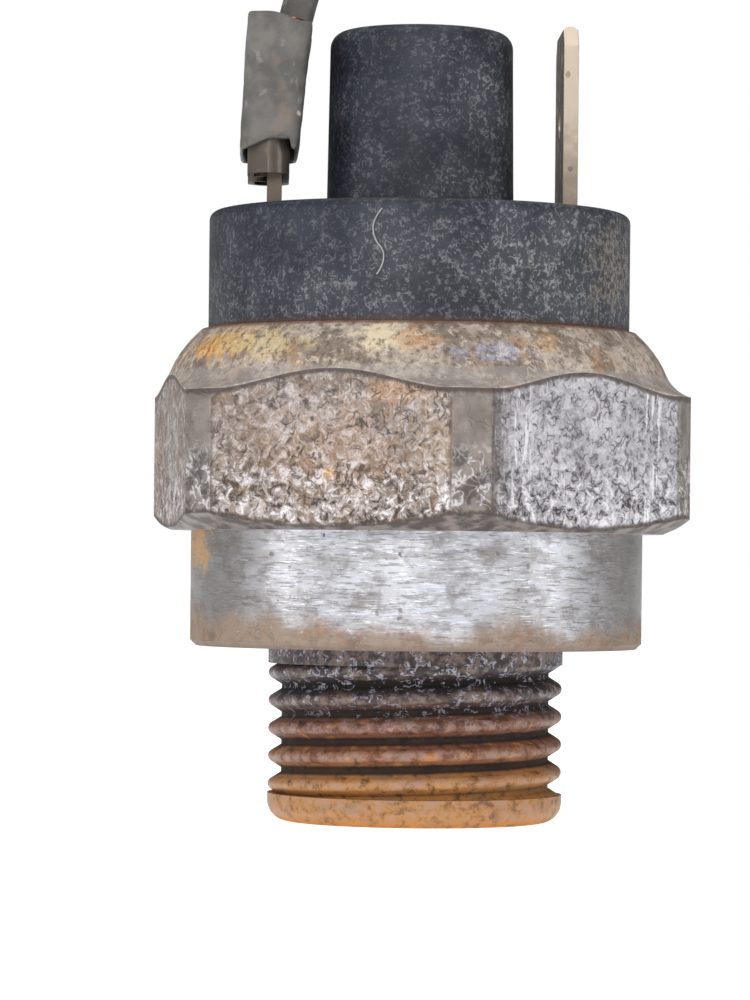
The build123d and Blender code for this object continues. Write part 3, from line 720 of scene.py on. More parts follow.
    def shoulder(self, w: Wiring, place: Socket, height: Socket) -> tuple[Socket, Socket]:
        """Rolled shoulder: warm grey with yellow, orange and pale patches, and a rusty rim line.

        Args:
            w: the material's wiring.
            place: the place on the body.
            height: height up the body.

        Returns:
            The colour, and the relief.
        """
        cloud = w.noise(place, 0.5, detail=5.0, rough=0.6)
        base = w.mix(w.step(cloud, 0.42, 0.58), (0.21, 0.165, 0.13), (0.42, 0.35, 0.29))
        base = self.patches(w, place, base, SHOULDER_PATCHES)
        fine = w.noise(w.shift(place, (14.0, 2.0, 6.0)), 2.6, detail=6.0, rough=0.7)
        base = w.mix(w.times(w.step(fine, 0.50, 0.38), 0.75), base, (0.10, 0.07, 0.05))
        base = w.mix(w.times(w.step(fine, 0.54, 0.66), 0.55), base, (0.68, 0.58, 0.46))
        film = w.effect(self.effects.rust, Place=place, Amount=0.52, Warmth=0.66)
        base = w.mix(w.times(film["Mask"], 0.55), base, film["Colour"])
        pale = w.effect(self.effects.squiggles, Place=place, Scale=1.5, Width=0.05, Gaps=0.52)[0]
        base = w.mix(w.times(pale, 0.5), base, (0.74, 0.66, 0.54))
        veins = w.effect(
            self.effects.squiggles, Place=w.shift(place, (3.0, 41.0, 11.0)), Scale=1.7, Width=0.035, Gaps=0.55
        )[0]
        base = w.mix(w.times(veins, 0.7), base, (0.10, 0.07, 0.05))
        size = self.sizes
        rim_line = w.step(height, size.lip_top - 0.22, size.lip_top - 0.04)
        base = w.mix(w.times(rim_line, 0.8), base, (0.13, 0.055, 0.025))
        worn_ridge = w.within(height, size.corner_top, size.face_top + 0.1, 0.12)
        base = w.mix(w.times(worn_ridge, 0.45), base, (0.36, 0.33, 0.31))
        return base, cloud

    def zones(self, w: Wiring, place: Socket, radius: Socket, height: Socket) -> BodyZones:
        """Tell the body's zones apart by radius and height.

        Args:
            w: the material's wiring.
            place: the place on the body.
            radius: distance from the axis.
            height: height up the body.

        Returns:
            A mask for each zone.
        """
        size = self.sizes
        inward = w.math("SUBTRACT", size.corner_r, radius)
        share = w.math("DIVIDE", inward, size.corner_r - size.flat_r, clamp=True)
        flare = w.times(w.math("MULTIPLY", share, share), size.face_top - size.corner_top)
        below_flare = w.math("SUBTRACT", w.math("ADD", flare, size.corner_top), height)
        slope = math.tan(math.radians(size.low_bevel_angle))
        low_cone = w.times(w.math("SUBTRACT", radius, size.land_r), slope)
        above_cone = w.math("SUBTRACT", height, w.math("ADD", low_cone, size.collar_top))
        ragged = w.times(w.math("SUBTRACT", w.noise(place, 2.5, detail=3.0), 0.5), 0.4)
        low_line = w.step(w.math("ADD", above_cone, ragged), 0.36, 0.12)
        top_line = w.step(w.math("ADD", below_flare, ragged), 0.42, 0.20)
        corner = w.step(radius, size.corner_r - 0.06, size.corner_r - 0.02)
        near_corner = w.math("ADD", radius, w.times(ragged, 0.3))
        corner_line = w.step(near_corner, size.corner_r - 0.16, size.corner_r - 0.06)
        above_corner = w.step(height, size.corner_top - 0.05, size.corner_top)
        underside = w.step(height, 0.03, 0.0)
        return BodyZones(
            collar=w.step(height, size.collar_top + 0.02, size.collar_top - 0.02),
            underside=underside,
            thread=w.times(underside, w.step(radius, size.thread_r + 0.1, size.thread_r)),
            shoulder=w.times(w.step(below_flare, 0.09, 0.05), above_corner),
            low_bevel=w.step(above_cone, 0.07, 0.03),
            edge_line=w.either(low_line, top_line),
            corner=corner,
            corner_line=w.times(corner_line, w.invert(corner)),
        )

    def hexagon(self, w: Wiring, place: Socket, height: Socket, zones: BodyZones) -> tuple[Socket, Socket]:
        """Faces, corner bands, dark lines along the edges, and the lower bevel in painted shade.

        Args:
            w: the material's wiring.
            place: the place on the body.
            height: height up the body.
            zones: the body's zones.

        Returns:
            The colour, and the relief of the faces.
        """
        colour, relief = self.hex_faces(w, place, height)
        patchy = w.noise(place, 1.1, detail=4.0)
        low_half = w.step(height, 11.0, 9.4)
        speckled = w.effect(self.effects.squiggles, Place=place, Scale=1.8, Width=0.08, Gaps=0.40)[0]
        corner = w.mix(w.step(patchy, 0.35, 0.65), (0.17, 0.145, 0.125), (0.26, 0.225, 0.20))
        corner = w.mix(w.times(speckled, low_half, 0.9), corner, (0.62, 0.60, 0.62))
        corner = w.mix(w.times(w.step(patchy, 0.5, 0.4), low_half, 0.7), corner, (0.07, 0.055, 0.05))
        # painted shade: the lower bevel, which faces down, is painted dark in patches
        bevel = w.mix(w.step(patchy, 0.42, 0.62), (0.055, 0.043, 0.037), (0.20, 0.17, 0.155))
        colour = w.mix(w.times(zones.corner_line, 0.7), colour, (0.11, 0.08, 0.065))
        colour = w.mix(zones.corner, colour, corner)
        colour = w.mix(w.times(zones.edge_line, 0.9), colour, (0.055, 0.036, 0.028))
        return w.mix(zones.low_bevel, colour, bevel), relief

    def recipe(self, w: Wiring, place: Socket) -> Surface:
        """Wire the body's zones from its thread up to its lip."""
        parts = w.node("ShaderNodeSeparateXYZ")
        w.feed(parts.inputs[0], place)
        height = parts.outputs[2]
        length = w.node("ShaderNodeVectorMath", operation="LENGTH")
        w.feed(length.inputs[0], w.stretch(place, (1.0, 1.0, 0.0)))
        radius = length.outputs["Value"]
        zones = self.zones(w, place, radius, height)

        colour, face_relief = self.hexagon(w, place, height, zones)
        shoulder, shoulder_relief = self.shoulder(w, place, height)
        colour = w.mix(zones.shoulder, colour, shoulder)
        collar, collar_dirt = self.collar(w, place, height)
        colour = w.mix(zones.collar, colour, collar)
        thread, thread_relief = self.thread(w, place, radius, height)
        colour = w.mix(w.times(zones.underside, 0.8), colour, (0.14, 0.095, 0.07))
        colour = w.mix(zones.thread, colour, thread)

        clean_collar = w.times(zones.collar, w.invert(zones.underside), w.invert(collar_dirt))
        on_hex = w.times(w.invert(zones.shoulder), w.invert(zones.collar))
        bare_hex = w.times(on_hex, w.invert(w.either(zones.low_bevel, zones.edge_line)))
        metallic = w.math("ADD", w.times(clean_collar, 0.8), w.times(bare_hex, 0.35), clamp=True)
        roughness = w.blend_values(zones.thread, w.blend_values(on_hex, 0.72, 0.5), 0.48)
        roughness = w.blend_values(w.times(zones.thread, w.step(radius, 7.75, 7.4)), roughness, 0.95)
        roughness = w.blend_values(clean_collar, roughness, 0.33)
        relief = w.blend_values(zones.thread, face_relief, thread_relief)
        relief = w.blend_values(zones.shoulder, relief, shoulder_relief)
        relief = w.times(relief, w.blend_values(clean_collar, 1.0, 0.05))
        return Surface(colour, roughness, metallic, relief, Relief.CORRODED)


class DustyPlastic(Finish):
    """Dark glass-filled plastic with pale dust caught in its surface."""

    def recipe(self, w: Wiring, place: Socket) -> Surface:
        """Wire the plastic and the dust that thickens towards the right and the foot of the rim."""
        parts = w.node("ShaderNodeSeparateXYZ")
        w.feed(parts.inputs[0], place)
        across, height = parts.outputs[0], parts.outputs[2]
        cloud = w.noise(place, 0.4, detail=4.0)
        base = w.mix(w.step(cloud, 0.35, 0.65), (0.011, 0.014, 0.023), (0.021, 0.026, 0.039))
        right = w.step(across, -7.0, 9.0)
        low_rim = w.step(height, 23.4, 18.5)
        amount = w.math("ADD", w.times(right, 0.60), w.times(low_rim, 0.45))
        amount = w.math("ADD", amount, w.times(w.math("SUBTRACT", cloud, 0.55), 2.2), clamp=True)
        lines = w.effect(self.effects.squiggles, Place=place, Scale=2.4, Width=0.06, Gaps=0.50)[0]
        specks = w.effect(self.effects.pits, Place=place, Scale=4.2, Size=0.34, Share=0.4)[0]
        dust = w.either(w.times(lines, 0.75), w.times(specks, 0.6))
        powder = w.noise(w.shift(place, (7.0, 3.0, 5.0)), 3.2, detail=5.0, rough=0.72)
        dust = w.either(dust, w.times(w.step(powder, 0.52, 0.66), 0.65))
        dusted = w.times(dust, w.blend_values(amount, 0.20, 1.0))
        base = w.mix(dusted, base, (0.36, 0.355, 0.365))
        film = w.times(amount, 0.22)
        base = w.mix(film, base, (0.13, 0.13, 0.135))
        brown = w.effect(
            self.effects.stain, Place=place, Centre=(10.1, -5.2, 20.2), Reach=(1.6, 5.0, 2.3), Ragged=0.45
        )[0]
        mottled = w.mix(w.step(powder, 0.42, 0.58), (0.035, 0.030, 0.027), (0.21, 0.185, 0.16))
        base = w.mix(w.times(brown, 0.75), base, mottled)
        foot = w.times(w.step(height, 17.35, 17.05), 0.7)
        base = w.mix(foot, base, (0.10, 0.05, 0.03))
        grain = w.effect(self.effects.grain, Place=place, Scale=5.0)
        roughness = w.blend_values(dusted, 0.55, 0.85)
        relief = w.math("ADD", w.times(grain["Height"], 0.6), w.times(dust, 0.5))
        return Surface(base, roughness, 0.0, relief, Relief.MOULDED, specular=0.35)


class ScuffedVinyl(Finish):
    """Grey-brown soft vinyl, scuffed and dusty."""

    def recipe(self, w: Wiring, place: Socket) -> Surface:
        """Wire the vinyl and its scuffs."""
        cloud = w.noise(place, 0.6, detail=5.0, rough=0.6)
        base = w.mix(w.step(cloud, 0.35, 0.65), (0.080, 0.076, 0.068), (0.15, 0.14, 0.128))
        rubbed = w.stretch(w.shift(place, (4.0, 2.0, 8.0)), (1.0, 1.0, 0.6))
        scuffs = w.noise(rubbed, 1.5, detail=4.0, rough=0.6)
        base = w.mix(w.times(w.step(scuffs, 0.58, 0.70), 0.5), base, (0.27, 0.255, 0.24))
        chips = w.effect(self.effects.pits, Place=place, Scale=0.9, Size=0.22, Share=0.28)[0]
        base = w.mix(w.times(chips, 0.7), base, (0.62, 0.60, 0.56))
        warm = w.step(w.noise(w.shift(place, (1.0, 15.0, 6.0)), 0.7, detail=3.0), 0.6, 0.72)
        base = w.mix(w.times(warm, 0.3), base, (0.26, 0.17, 0.12))
        return Surface(base, w.blend_values(cloud, 0.5, 0.75), 0.0, scuffs, Relief.MOULDED)


class ShadedFaceTin(Finish):
    """Tin plate on brass: bright on the cut edges, dark on the broad faces with painted shade and oxide."""

    def __init__(self, name: str, effects: Effects, bright: Colour, shade_and_oxide: Colour) -> None:
        """Make the finish.

        Args:
            name: the material's name.
            effects: the shared effects.
            bright: colour of the rubbed plate.
            shade_and_oxide: colour of the painted shade and oxide film on the broad faces.
        """
        self.bright = bright
        self.shade_and_oxide = shade_and_oxide
        super().__init__(name, effects)

    def recipe(self, w: Wiring, place: Socket) -> Surface:
        """Wire the plate, with its painted shade and oxide film kept off the cut edges of the tabs."""
        parts = w.node("ShaderNodeSeparateXYZ")
        w.feed(parts.inputs[0], place)
        off_middle = w.math("ABSOLUTE", w.math("SUBTRACT", w.math("ABSOLUTE", parts.outputs[0]), 7.9))
        # painted shade and oxide: the broad faces of the tabs, the inner one standing in shade, are darkened
        # in patches
        broad = w.step(off_middle, 0.36, 0.395)
        cloud = w.noise(place, 0.9, detail=5.0, rough=0.65)
        film = w.times(broad, w.step(cloud, 0.25, 0.5))
        colour = w.mix(w.times(film, 0.85), self.bright, self.shade_and_oxide)
        worn = w.effect(self.effects.squiggles, Place=place, Scale=1.6, Width=0.05, Gaps=0.5)[0]
        colour = w.mix(w.times(worn, 0.4), colour, self.bright)
        marks = w.effect(self.effects.pits, Place=place, Scale=1.5, Size=0.3, Share=0.3)[0]
        colour = w.mix(w.times(marks, 0.55), colour, (0.12, 0.09, 0.06))
        foot = w.math("ADD", parts.outputs[2], w.times(w.math("SUBTRACT", cloud, 0.5), 9.0))
        colour = w.mix(w.times(w.step(foot, 29.5, 24.0), 0.6), colour, (0.11, 0.075, 0.05))
        roughness = w.blend_values(film, 0.34, 0.6)
        metallic = w.blend_values(film, 0.75, 0.45)
        return Surface(colour, roughness, metallic, cloud, Relief.MOULDED)


class TurnedMetal(Finish):
    """Bare machined metal with tool marks."""

    def __init__(self, name: str, effects: Effects, bright: Colour, dull: Colour, rough: float = 0.3) -> None:
        """Make the finish.

        Args:
            name: the material's name.
            effects: the shared effects.
            bright: colour of the clean metal.
            dull: colour of its tarnish.
            rough: roughness of the clean metal.
        """
        self.bright = bright
        self.dull = dull
        self.rough = rough
        super().__init__(name, effects)

    def recipe(self, w: Wiring, place: Socket) -> Surface:
        """Wire the metal, its tarnish and its tool marks."""
        tarnish = w.step(w.noise(place, 0.8, detail=4.0), 0.42, 0.68)
        marks = w.effect(self.effects.scratches, Place=place, Scale=6.0, Share=0.4)[0]
        colour = w.mix(tarnish, self.bright, self.dull)
        colour = w.mix(w.times(marks, 0.35), colour, self.dull)
        roughness = w.blend_values(tarnish, self.rough, self.rough + 0.25)
        return Surface(colour, roughness, 1.0, marks, Relief.POLISHED)


class MouldedPart(Finish):
    """Plain moulded plastic, rubber or coated cloth with a fine grain."""

    def __init__(
        self, name: str, effects: Effects, light: Colour, dark: Colour, rough: float, grain: float
    ) -> None:
        """Make the finish.

        Args:
            name: the material's name.
            effects: the shared effects.
            light: the lighter tone.
            dark: the darker tone.
            rough: its roughness.
            grain: grains to a millimetre.
        """
        self.light = light
        self.dark = dark
        self.rough = rough
        self.grain = grain
        super().__init__(name, effects)

    def recipe(self, w: Wiring, place: Socket) -> Surface:
        """Wire two tones, a grain and uneven gloss."""
        cloud = w.noise(place, 0.5, detail=3.0)
        grain = w.effect(self.effects.grain, Place=place, Scale=self.grain)
        colour = w.mix(w.step(cloud, 0.3, 0.7), self.dark, self.light)
        colour = w.mix(w.times(grain["Mask"], 0.25), colour, self.dark)
        roughness = w.blend_values(cloud, self.rough - 0.08, self.rough + 0.08)
        return Surface(colour, roughness, 0.0, grain["Height"], Relief.MOULDED)


# ---- meshes -----------------------------------------------------------------------------------


def clear_selection() -> None:
    """Leave edit mode and select nothing."""
    if bpy.context.object is not None and bpy.context.object.mode != "OBJECT":
        bpy.ops.object.mode_set(mode="OBJECT")
    bpy.ops.object.select_all(action="DESELECT")


def pick(piece: bpy.types.Object, wanted: Callable[[Vector], bool], kind: str = "VERT") -> None:
    """Select vertices, edges or faces of a mesh in edit mode by their place.

    Args:
        piece: the mesh object, in edit mode.
        wanted: whether an item at this place, its middle, is selected.
        kind: VERT, EDGE or FACE.
    """
    bpy.ops.mesh.select_all(action="DESELECT")
    bpy.ops.mesh.select_mode(type=kind)
    mesh = bmesh.from_edit_mesh(piece.data)
    items = {"VERT": mesh.verts, "EDGE": mesh.edges, "FACE": mesh.faces}[kind]
    for item in items:
        if kind == "VERT":
            middle = item.co
        else:
            middle = sum((v.co for v in item.verts), Vector()) / len(item.verts)
        item.select_set(wanted(middle))
    mesh.select_flush_mode()
    bmesh.update_edit_mesh(piece.data)


def settle(piece: bpy.types.Object, name: str, smooth_angle: float = 40.0) -> None:
    """Apply a piece's modifiers and place, name it and smooth it.

    Args:
        piece: the finished piece.
        name: its name.
        smooth_angle: edges sharper than this, in degrees, stay sharp.
    """
    clear_selection()
    piece.select_set(True)
    bpy.context.view_layer.objects.active = piece
    for modifier in list(piece.modifiers):
        bpy.ops.object.modifier_apply(modifier=modifier.name)
    bpy.ops.object.transform_apply(location=True, rotation=True, scale=True)
    bpy.ops.object.shade_smooth_by_angle(angle=math.radians(smooth_angle))
    piece.name = name
    piece.data.name = name
    clear_selection()
    log.info("%s: %d vertices", name, len(piece.data.vertices))


@dataclass
class LeadWire:
    """Short insulated lead from the push-on receptacle to its bullet plug."""

    diameter: float = 0.00185
    length: float = 0.109
    route: tuple[tuple[float, float, float], ...] = (
        (-0.00684, 0.0, 0.03385),
        (-0.00495, 0.0, 0.0416),
        (0.0024, 0.0006, 0.0492),
        (0.0124, 0.0013, 0.0498),
        (0.0200, 0.0026, 0.0418),
        (0.0223, 0.0040, 0.0296),
        (0.0213, 0.0052, 0.0166),
        (0.0219, 0.0060, 0.0060),
        (0.0220, 0.0096, -0.0052),
        (0.0227, 0.0196, -0.008475),
        (0.0239, 0.0276, -0.00713),
        (0.0245, 0.0330, -0.00713),
    )

    def build(self, finish: Finish) -> bpy.types.Object:
        """Args:
            finish: the insulation.

        Returns:
            The lead.
        """
        curve = bpy.data.curves.new("lead_wire", "CURVE")
        curve.dimensions = "3D"
        curve.bevel_depth = self.diameter / 2
        curve.bevel_resolution = 8
        curve.use_fill_caps = True
        spline = curve.splines.new("NURBS")
        spline.points.add(len(self.route) - 1)
        for point, place in zip(spline.points, self.route):
            point.co = (*place, 1.0)
        spline.order_u = 3
        spline.use_endpoint_u = True
        spline.resolution_u = 16
        piece = bpy.data.objects.new("lead_wire", curve)
        bpy.context.scene.collection.objects.link(piece)
        curve.materials.append(finish.material)
        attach(piece, "body")
        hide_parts("lead")
        log.info("lead_wire: %d points", len(self.route))
        return piece


@dataclass
class WornSleeve:
    """Soft sleeve over the receptacle: a thin, slightly crumpled tube with a torn lower edge."""

    foot_width: float = 0.00315
    lean: float = 0.00054
    wall: float = 0.0003
    corner: float = 0.0007
    rings: int = 14
    crumple: float = 0.00009
    tear_rise: float = 0.00075
    slump: float = 0.0005

    def build(self, finish: Finish) -> bpy.types.Object:
        """Shape the sleeve inside the room its solid takes.

        Args:
            finish: the vinyl.

        Returns:
            The sleeve.
        """
        low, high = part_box("receptacle_sleeve")
        piece = self._tube(low, high)
        draw = random.Random(7)
        self._lean_over(piece, low, high, draw)
        self._tear(piece, low, self.foot_width, draw)
        bpy.ops.object.mode_set(mode="OBJECT")
        self._thicken(piece)
        settle(piece, "worn_sleeve", 50)
        finish.dress(piece)
        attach(piece, "body")
        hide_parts("receptacle_sleeve")
        return piece

    def _tube(self, low: Vector, high: Vector) -> bpy.types.Object:
        """Make an open rounded tube, cut into rings and strips.

        Args:
            low: lowest corner of the room it takes.
            high: highest corner of the room it takes.

        Returns:
            The tube, left in edit mode.
        """
        middle = (low[0] + self.foot_width / 2, (low[1] + high[1]) / 2, (low[2] + high[2]) / 2)
        depth, tall = high[1] - low[1], high[2] - low[2]
        clear_selection()
        bpy.ops.mesh.primitive_cube_add(size=1, location=middle, scale=(self.foot_width, depth, tall))
        piece = bpy.context.object
        bpy.ops.object.transform_apply(location=True, rotation=True, scale=True)
        bpy.ops.object.mode_set(mode="EDIT")
        far_x, far_y = 0.4 * self.foot_width, 0.4 * depth
        pick(piece, lambda p: abs(p.z - middle[2]) < 0.1 * tall and abs(p.x - middle[0]) > far_x
             and abs(p.y - middle[1]) > far_y, "EDGE")
        bpy.ops.mesh.bevel(offset=self.corner, segments=5, affect="EDGES")
        pick(piece, lambda p: abs(abs(p.z - middle[2]) - tall / 2) < 1e-5, "FACE")
        bpy.ops.mesh.delete(type="FACE")
        cuts = [((0, 0, low[2] + tall * ring / self.rings), (0, 0, 1)) for ring in range(1, self.rings)]
        cuts += [((low[0] + self.foot_width * strip / 4, 0, 0), (1, 0, 0)) for strip in range(1, 4)]
        cuts += [((0, low[1] + depth * strip / 8, 0), (0, 1, 0)) for strip in range(1, 8)]
        for place, across in cuts:
            bpy.ops.mesh.select_all(action="SELECT")
            bpy.ops.mesh.bisect(plane_co=place, plane_no=across)
        return piece

    def _lean_over(self, piece: bpy.types.Object, low: Vector, high: Vector, draw: random.Random) -> None:
        """Lean and widen the tube ring by ring, and let its mouth slump on the lead's side.

        Args:
            piece: the tube, in edit mode.
            low: lowest corner of the room it takes.
            high: highest corner of the room it takes.
            draw: seeded numbers.
        """
        middle_y, tall = (low[1] + high[1]) / 2, high[2] - low[2]
        for ring in range(self.rings + 1):
            share = ring / self.rings
            level = low[2] + tall * ring / self.rings
            moved = self.lean * share
            lead_side = low[0] + 0.68 * self.foot_width + moved
            pick(piece, lambda p, z=level: abs(p.z - z) < 1e-5)
            bpy.ops.transform.translate(value=(moved + draw.uniform(-1, 1) * 0.00003, 0, 0))
            bpy.ops.transform.resize(
                value=(1 + 0.11 * share, 1 - 0.02 * share, 1),
                center_override=(low[0] + self.foot_width / 2 + moved, middle_y, level),
            )
            pick(piece, lambda p, z=level, x=lead_side: abs(p.z - z) < 1e-5 and p.x > x)
            bpy.ops.transform.translate(value=(0, 0, -max(0.0, (share - 0.6) / 0.4) * self.slump))

    def _thicken(self, piece: bpy.types.Object) -> None:
        """Give the tube its wall, soften it and crumple it a little.

        Args:
            piece: the tube, out of edit mode.
        """
        thick = piece.modifiers.new("wall", "SOLIDIFY")
        thick.thickness = self.wall
        thick.offset = -1
        soft = piece.modifiers.new("soft", "SUBSURF")
        soft.levels = soft.render_levels = 2
        cloud = bpy.data.textures.new("sleeve_crumple", "CLOUDS")
        cloud.noise_scale = 0.0016
        push = piece.modifiers.new("crumple", "DISPLACE")
        push.texture = cloud
        push.strength = self.crumple
        push.mid_level = 0.62

    def _tear(self, piece: bpy.types.Object, low: Vector, width: float, draw: random.Random) -> None:
        """Pull the lower edge into a ragged line with a notch at the front.

        Args:
            piece: the sleeve, in edit mode.
            low: the sleeve's lowest corner.
            width: its width at the foot.
            draw: seeded numbers.
        """
        front = low[1] + self.corner
        for share, rise in ((0.25, 0.15), (0.5, 1.0), (0.75, 0.8)):
            pick(piece, lambda p, x=low[0] + width * share: p.z < low[2] + 1e-5 and p.y < front
                 and abs(p.x - x) < 0.12 * width)
            bpy.ops.transform.translate(value=(0, 0, self.tear_rise * rise + draw.uniform(0, 0.0001)))


@dataclass
class LintFibre:
    """Pale fibre stuck to the front of the rim in a lazy S."""

    thickness: float = 0.00007
    rim_r: float = 0.01138

    def build(self, finish: Finish) -> bpy.types.Object:
        """Lay the fibre on the rim.

        Args:
            finish: the fibre's material.

        Returns:
            The fibre.
        """
        sideways = (
            (-0.00235, 0.0228), (-0.00285, 0.0222), (-0.00275, 0.0212),
            (-0.0022, 0.0206), (-0.0023, 0.0198), (-0.0026, 0.0194),
        )
        curve = bpy.data.curves.new("lint_fibre", "CURVE")
        curve.dimensions = "3D"
        curve.bevel_depth = self.thickness / 2
        curve.bevel_resolution = 2
        spline = curve.splines.new("NURBS")
        spline.points.add(len(sideways) - 1)
        reach = self.rim_r + self.thickness / 2
        for point, (x, z) in zip(spline.points, sideways):
            point.co = (x, -math.sqrt(reach**2 - x**2), z, 1.0)
        spline.order_u = 3
        spline.use_endpoint_u = True
        piece = bpy.data.objects.new("lint_fibre", curve)
        bpy.context.scene.collection.objects.link(piece)
        clear_selection()
        piece.select_set(True)
        bpy.context.view_layer.objects.active = piece
        bpy.ops.object.convert(target="MESH")
        piece = bpy.context.object
        settle(piece, "lint_fibre", 80)
        finish.dress(piece)
        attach(piece, "body")
        return piece


# ---- assembly ---------------------------------------------------------------------------------


class SwitchFinishes:
    """Every finish of the switch, and the CAD pieces that wear it."""

    def __init__(self, effects: Effects) -> None:
        """Make the finishes.

        Args:
            effects: the shared effects.
        """
        self.steel = WornSteel("worn_steel", effects)
        self.plastic = DustyPlastic("dusty_plastic", effects)
        self.vinyl = ScuffedVinyl("scuffed_vinyl", effects)
        self.tab_tin = ShadedFaceTin("tin_with_shaded_faces", effects, (0.52, 0.44, 0.35), (0.075, 0.060, 0.045))
        # painted shade: the left tab, which stands in shade, wears a darker copy of the tin
        self.shaded_tin = ShadedFaceTin("shaded_left_tin", effects, (0.15, 0.135, 0.12), (0.055, 0.047, 0.040))
        # painted shade: the receptacle's tin is given dark colours for the shade it sits in under the sleeve
        self.receptacle_tin = ShadedFaceTin("receptacle_tin", effects, (0.17, 0.155, 0.14), (0.07, 0.062, 0.055))
        self.brass = TurnedMetal("turned_brass", effects, (0.78, 0.56, 0.25), (0.42, 0.28, 0.12))
        self.bronze = TurnedMetal("bronze_strip", effects, (0.72, 0.42, 0.24), (0.42, 0.22, 0.12))
        self.copper = TurnedMetal("copper_strands", effects, (0.80, 0.40, 0.24), (0.38, 0.17, 0.10), 0.4)
        self.silver = TurnedMetal("contact_silver", effects, (0.86, 0.85, 0.83), (0.55, 0.52, 0.47), 0.22)
        self.inner_steel = TurnedMetal("turned_steel", effects, (0.62, 0.62, 0.64), (0.40, 0.39, 0.38))
        self.spring = TurnedMetal("spring_wire", effects, (0.46, 0.46, 0.49), (0.24, 0.23, 0.23))
        self.rubber = MouldedPart(
            "seal_rubber", effects, (0.035, 0.035, 0.035), (0.018, 0.018, 0.018), 0.6, 4.0
        )
        self.film = MouldedPart(
            "diaphragm_cloth", effects, (0.50, 0.25, 0.10), (0.33, 0.15, 0.06), 0.5, 3.0
        )
        self.pin = MouldedPart(
            "insulating_plastic", effects, (0.80, 0.76, 0.66), (0.66, 0.61, 0.50), 0.45, 5.0
        )
        self.board = MouldedPart(
            "phenolic_board", effects, (0.36, 0.21, 0.12), (0.22, 0.12, 0.065), 0.55, 3.5
        )
        self.plug = MouldedPart(
            "plug_plastic", effects, (0.055, 0.058, 0.066), (0.035, 0.037, 0.042), 0.6, 5.0
        )
        self.lint = MouldedPart(
            "lint", effects, (0.40, 0.40, 0.40), (0.27, 0.27, 0.27), 0.9, 9.0
        )
        self.wearers: dict[str, Finish] = {
            "hex_body": self.steel, "cap": self.plastic, "tower_plug": self.plug,
            "terminal_left": self.shaded_tin, "terminal_right": self.tab_tin,
            "receptacle": self.receptacle_tin, "bullet_sleeve": self.vinyl,
            "bullet_plug": self.brass, "threaded_insert": self.brass,
            "contact_bridge": self.bronze, "lead_strands": self.copper, "bullet_strands": self.copper,
            "bridge_contact_left": self.silver, "bridge_contact_right": self.silver,
            "fixed_contact_left": self.silver, "fixed_contact_right": self.silver,
            "support_ring": self.inner_steel, "piston": self.inner_steel,
            "upper_spring_seat": self.inner_steel, "adjusting_screw": self.inner_steel,
            "range_spring": self.spring, "diaphragm_seal": self.rubber, "cap_seal": self.rubber,
            "diaphragm": self.film, "push_pin": self.pin, "lower_spring_seat": self.pin,
            "contact_base": self.board,
        }

    def dress_all(self) -> None:
        """Give each CAD piece its finish."""
        for node, finish in self.wearers.items():
            finish.dress(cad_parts[node])
            log.info("%s wears %s", node, finish.material.name)


@dataclass(frozen=True)
class Softbox:
    """One studio light: where it stands, what it looks at, its size and power."""

    name: str
    place: tuple[float, float, float]
    width: float
    height: float
    power: float


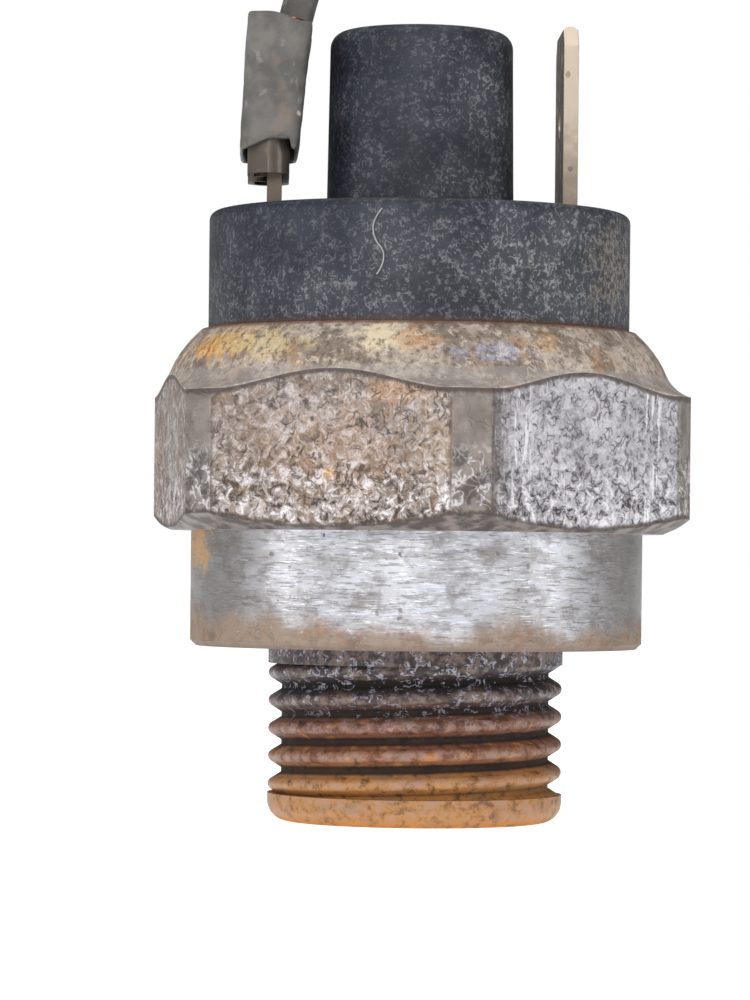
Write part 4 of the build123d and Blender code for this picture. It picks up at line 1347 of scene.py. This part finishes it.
@dataclass
class Studio:
    """Camera, floor and lights."""

    camera_place: tuple[float, float, float] = (-0.008, -0.2299, 0.0047)
    target: tuple[float, float, float] = (0.0, 0.0, 0.0047)
    roll: float = 0.6
    lens: float = 153.0
    shift: tuple[float, float] = (-0.0415, 0.06)
    floor_height: float = -0.0094
    floor_reach: float = 6.0
    softboxes: tuple[Softbox, ...] = (
        Softbox("front_box", (-0.12, -0.50, 0.26), 0.30, 0.26, 1.55),
        Softbox("right_box", (0.46, -0.22, 0.16), 0.20, 0.26, 0.4),
        Softbox("left_box", (-0.46, -0.16, 0.12), 0.16, 0.26, 0.3),
        Softbox("top_box", (0.0, 0.05, 0.55), 0.40, 0.40, 1.0),
    )

    def camera(self) -> None:
        """Stand the camera level with the collar, a little to the left."""
        data = bpy.data.cameras.new("studio_camera")
        data.lens = self.lens
        data.shift_x, data.shift_y = self.shift
        data.clip_start = 0.01
        camera = bpy.data.objects.new("studio_camera", data)
        bpy.context.scene.collection.objects.link(camera)
        camera.location = self.camera_place
        aim = (Vector(self.target) - Vector(self.camera_place)).to_track_quat("-Z", "Y")
        turn = Matrix.Rotation(math.radians(self.roll), 4, "Z")
        camera.rotation_euler = (aim.to_matrix().to_4x4() @ turn).to_euler()
        bpy.context.scene.camera = camera

    def floor(self) -> None:
        """Lay a plain white floor under the thread's end."""
        clear_selection()
        bpy.ops.mesh.primitive_plane_add(size=2 * self.floor_reach, location=(0, 0, self.floor_height))
        plane = bpy.context.object
        plane.name = "studio_floor"
        material = bpy.data.materials.new("studio_floor")
        material.use_nodes = True
        shader = material.node_tree.nodes["Principled BSDF"]
        shader.inputs["Base Color"].default_value = (0.93, 0.93, 0.93, 1)
        shader.inputs["Roughness"].default_value = 0.9
        shader.inputs["Specular IOR Level"].default_value = 0.0
        shader.inputs["Emission Color"].default_value = (1, 1, 1, 1)
        shader.inputs["Emission Strength"].default_value = 0.8
        plane.data.materials.append(material)

    def lights(self) -> None:
        """Hang the softboxes and set the plain surroundings."""
        for box in self.softboxes:
            data = bpy.data.lights.new(box.name, "AREA")
            data.shape = "RECTANGLE"
            data.size, data.size_y = box.width, box.height
            data.energy = box.power
            lamp = bpy.data.objects.new(box.name, data)
            bpy.context.scene.collection.objects.link(lamp)
            lamp.location = box.place
            aim = Vector((0, 0, 0.012)) - Vector(box.place)
            lamp.rotation_euler = aim.to_track_quat("-Z", "Y").to_euler()
        world = bpy.data.worlds.new("studio")
        bpy.context.scene.world = world
        world.use_nodes = True
        tree = world.node_tree
        wiring = Wiring(tree)
        seen = wiring.node("ShaderNodeLightPath").outputs["Is Camera Ray"]
        background = tree.nodes["Background"]
        wiring.feed(background.inputs["Color"], wiring.mix(seen, (0.24, 0.24, 0.25), (1.0, 1.0, 1.0)))
        background.inputs["Strength"].default_value = 1.0
        bpy.context.scene.view_settings.view_transform = "Standard"


def main() -> None:
    """Build the studio, the lead, and then every other piece and finish."""
    studio = Studio()
    studio.camera()
    finishes = SwitchFinishes(Effects())
    LeadWire().build(finishes.vinyl)
    studio.floor()
    studio.lights()
    WornSleeve().build(finishes.vinyl)
    LintFibre().build(finishes.lint)
    finishes.dress_all()


if __name__ == "__main__":
    main()
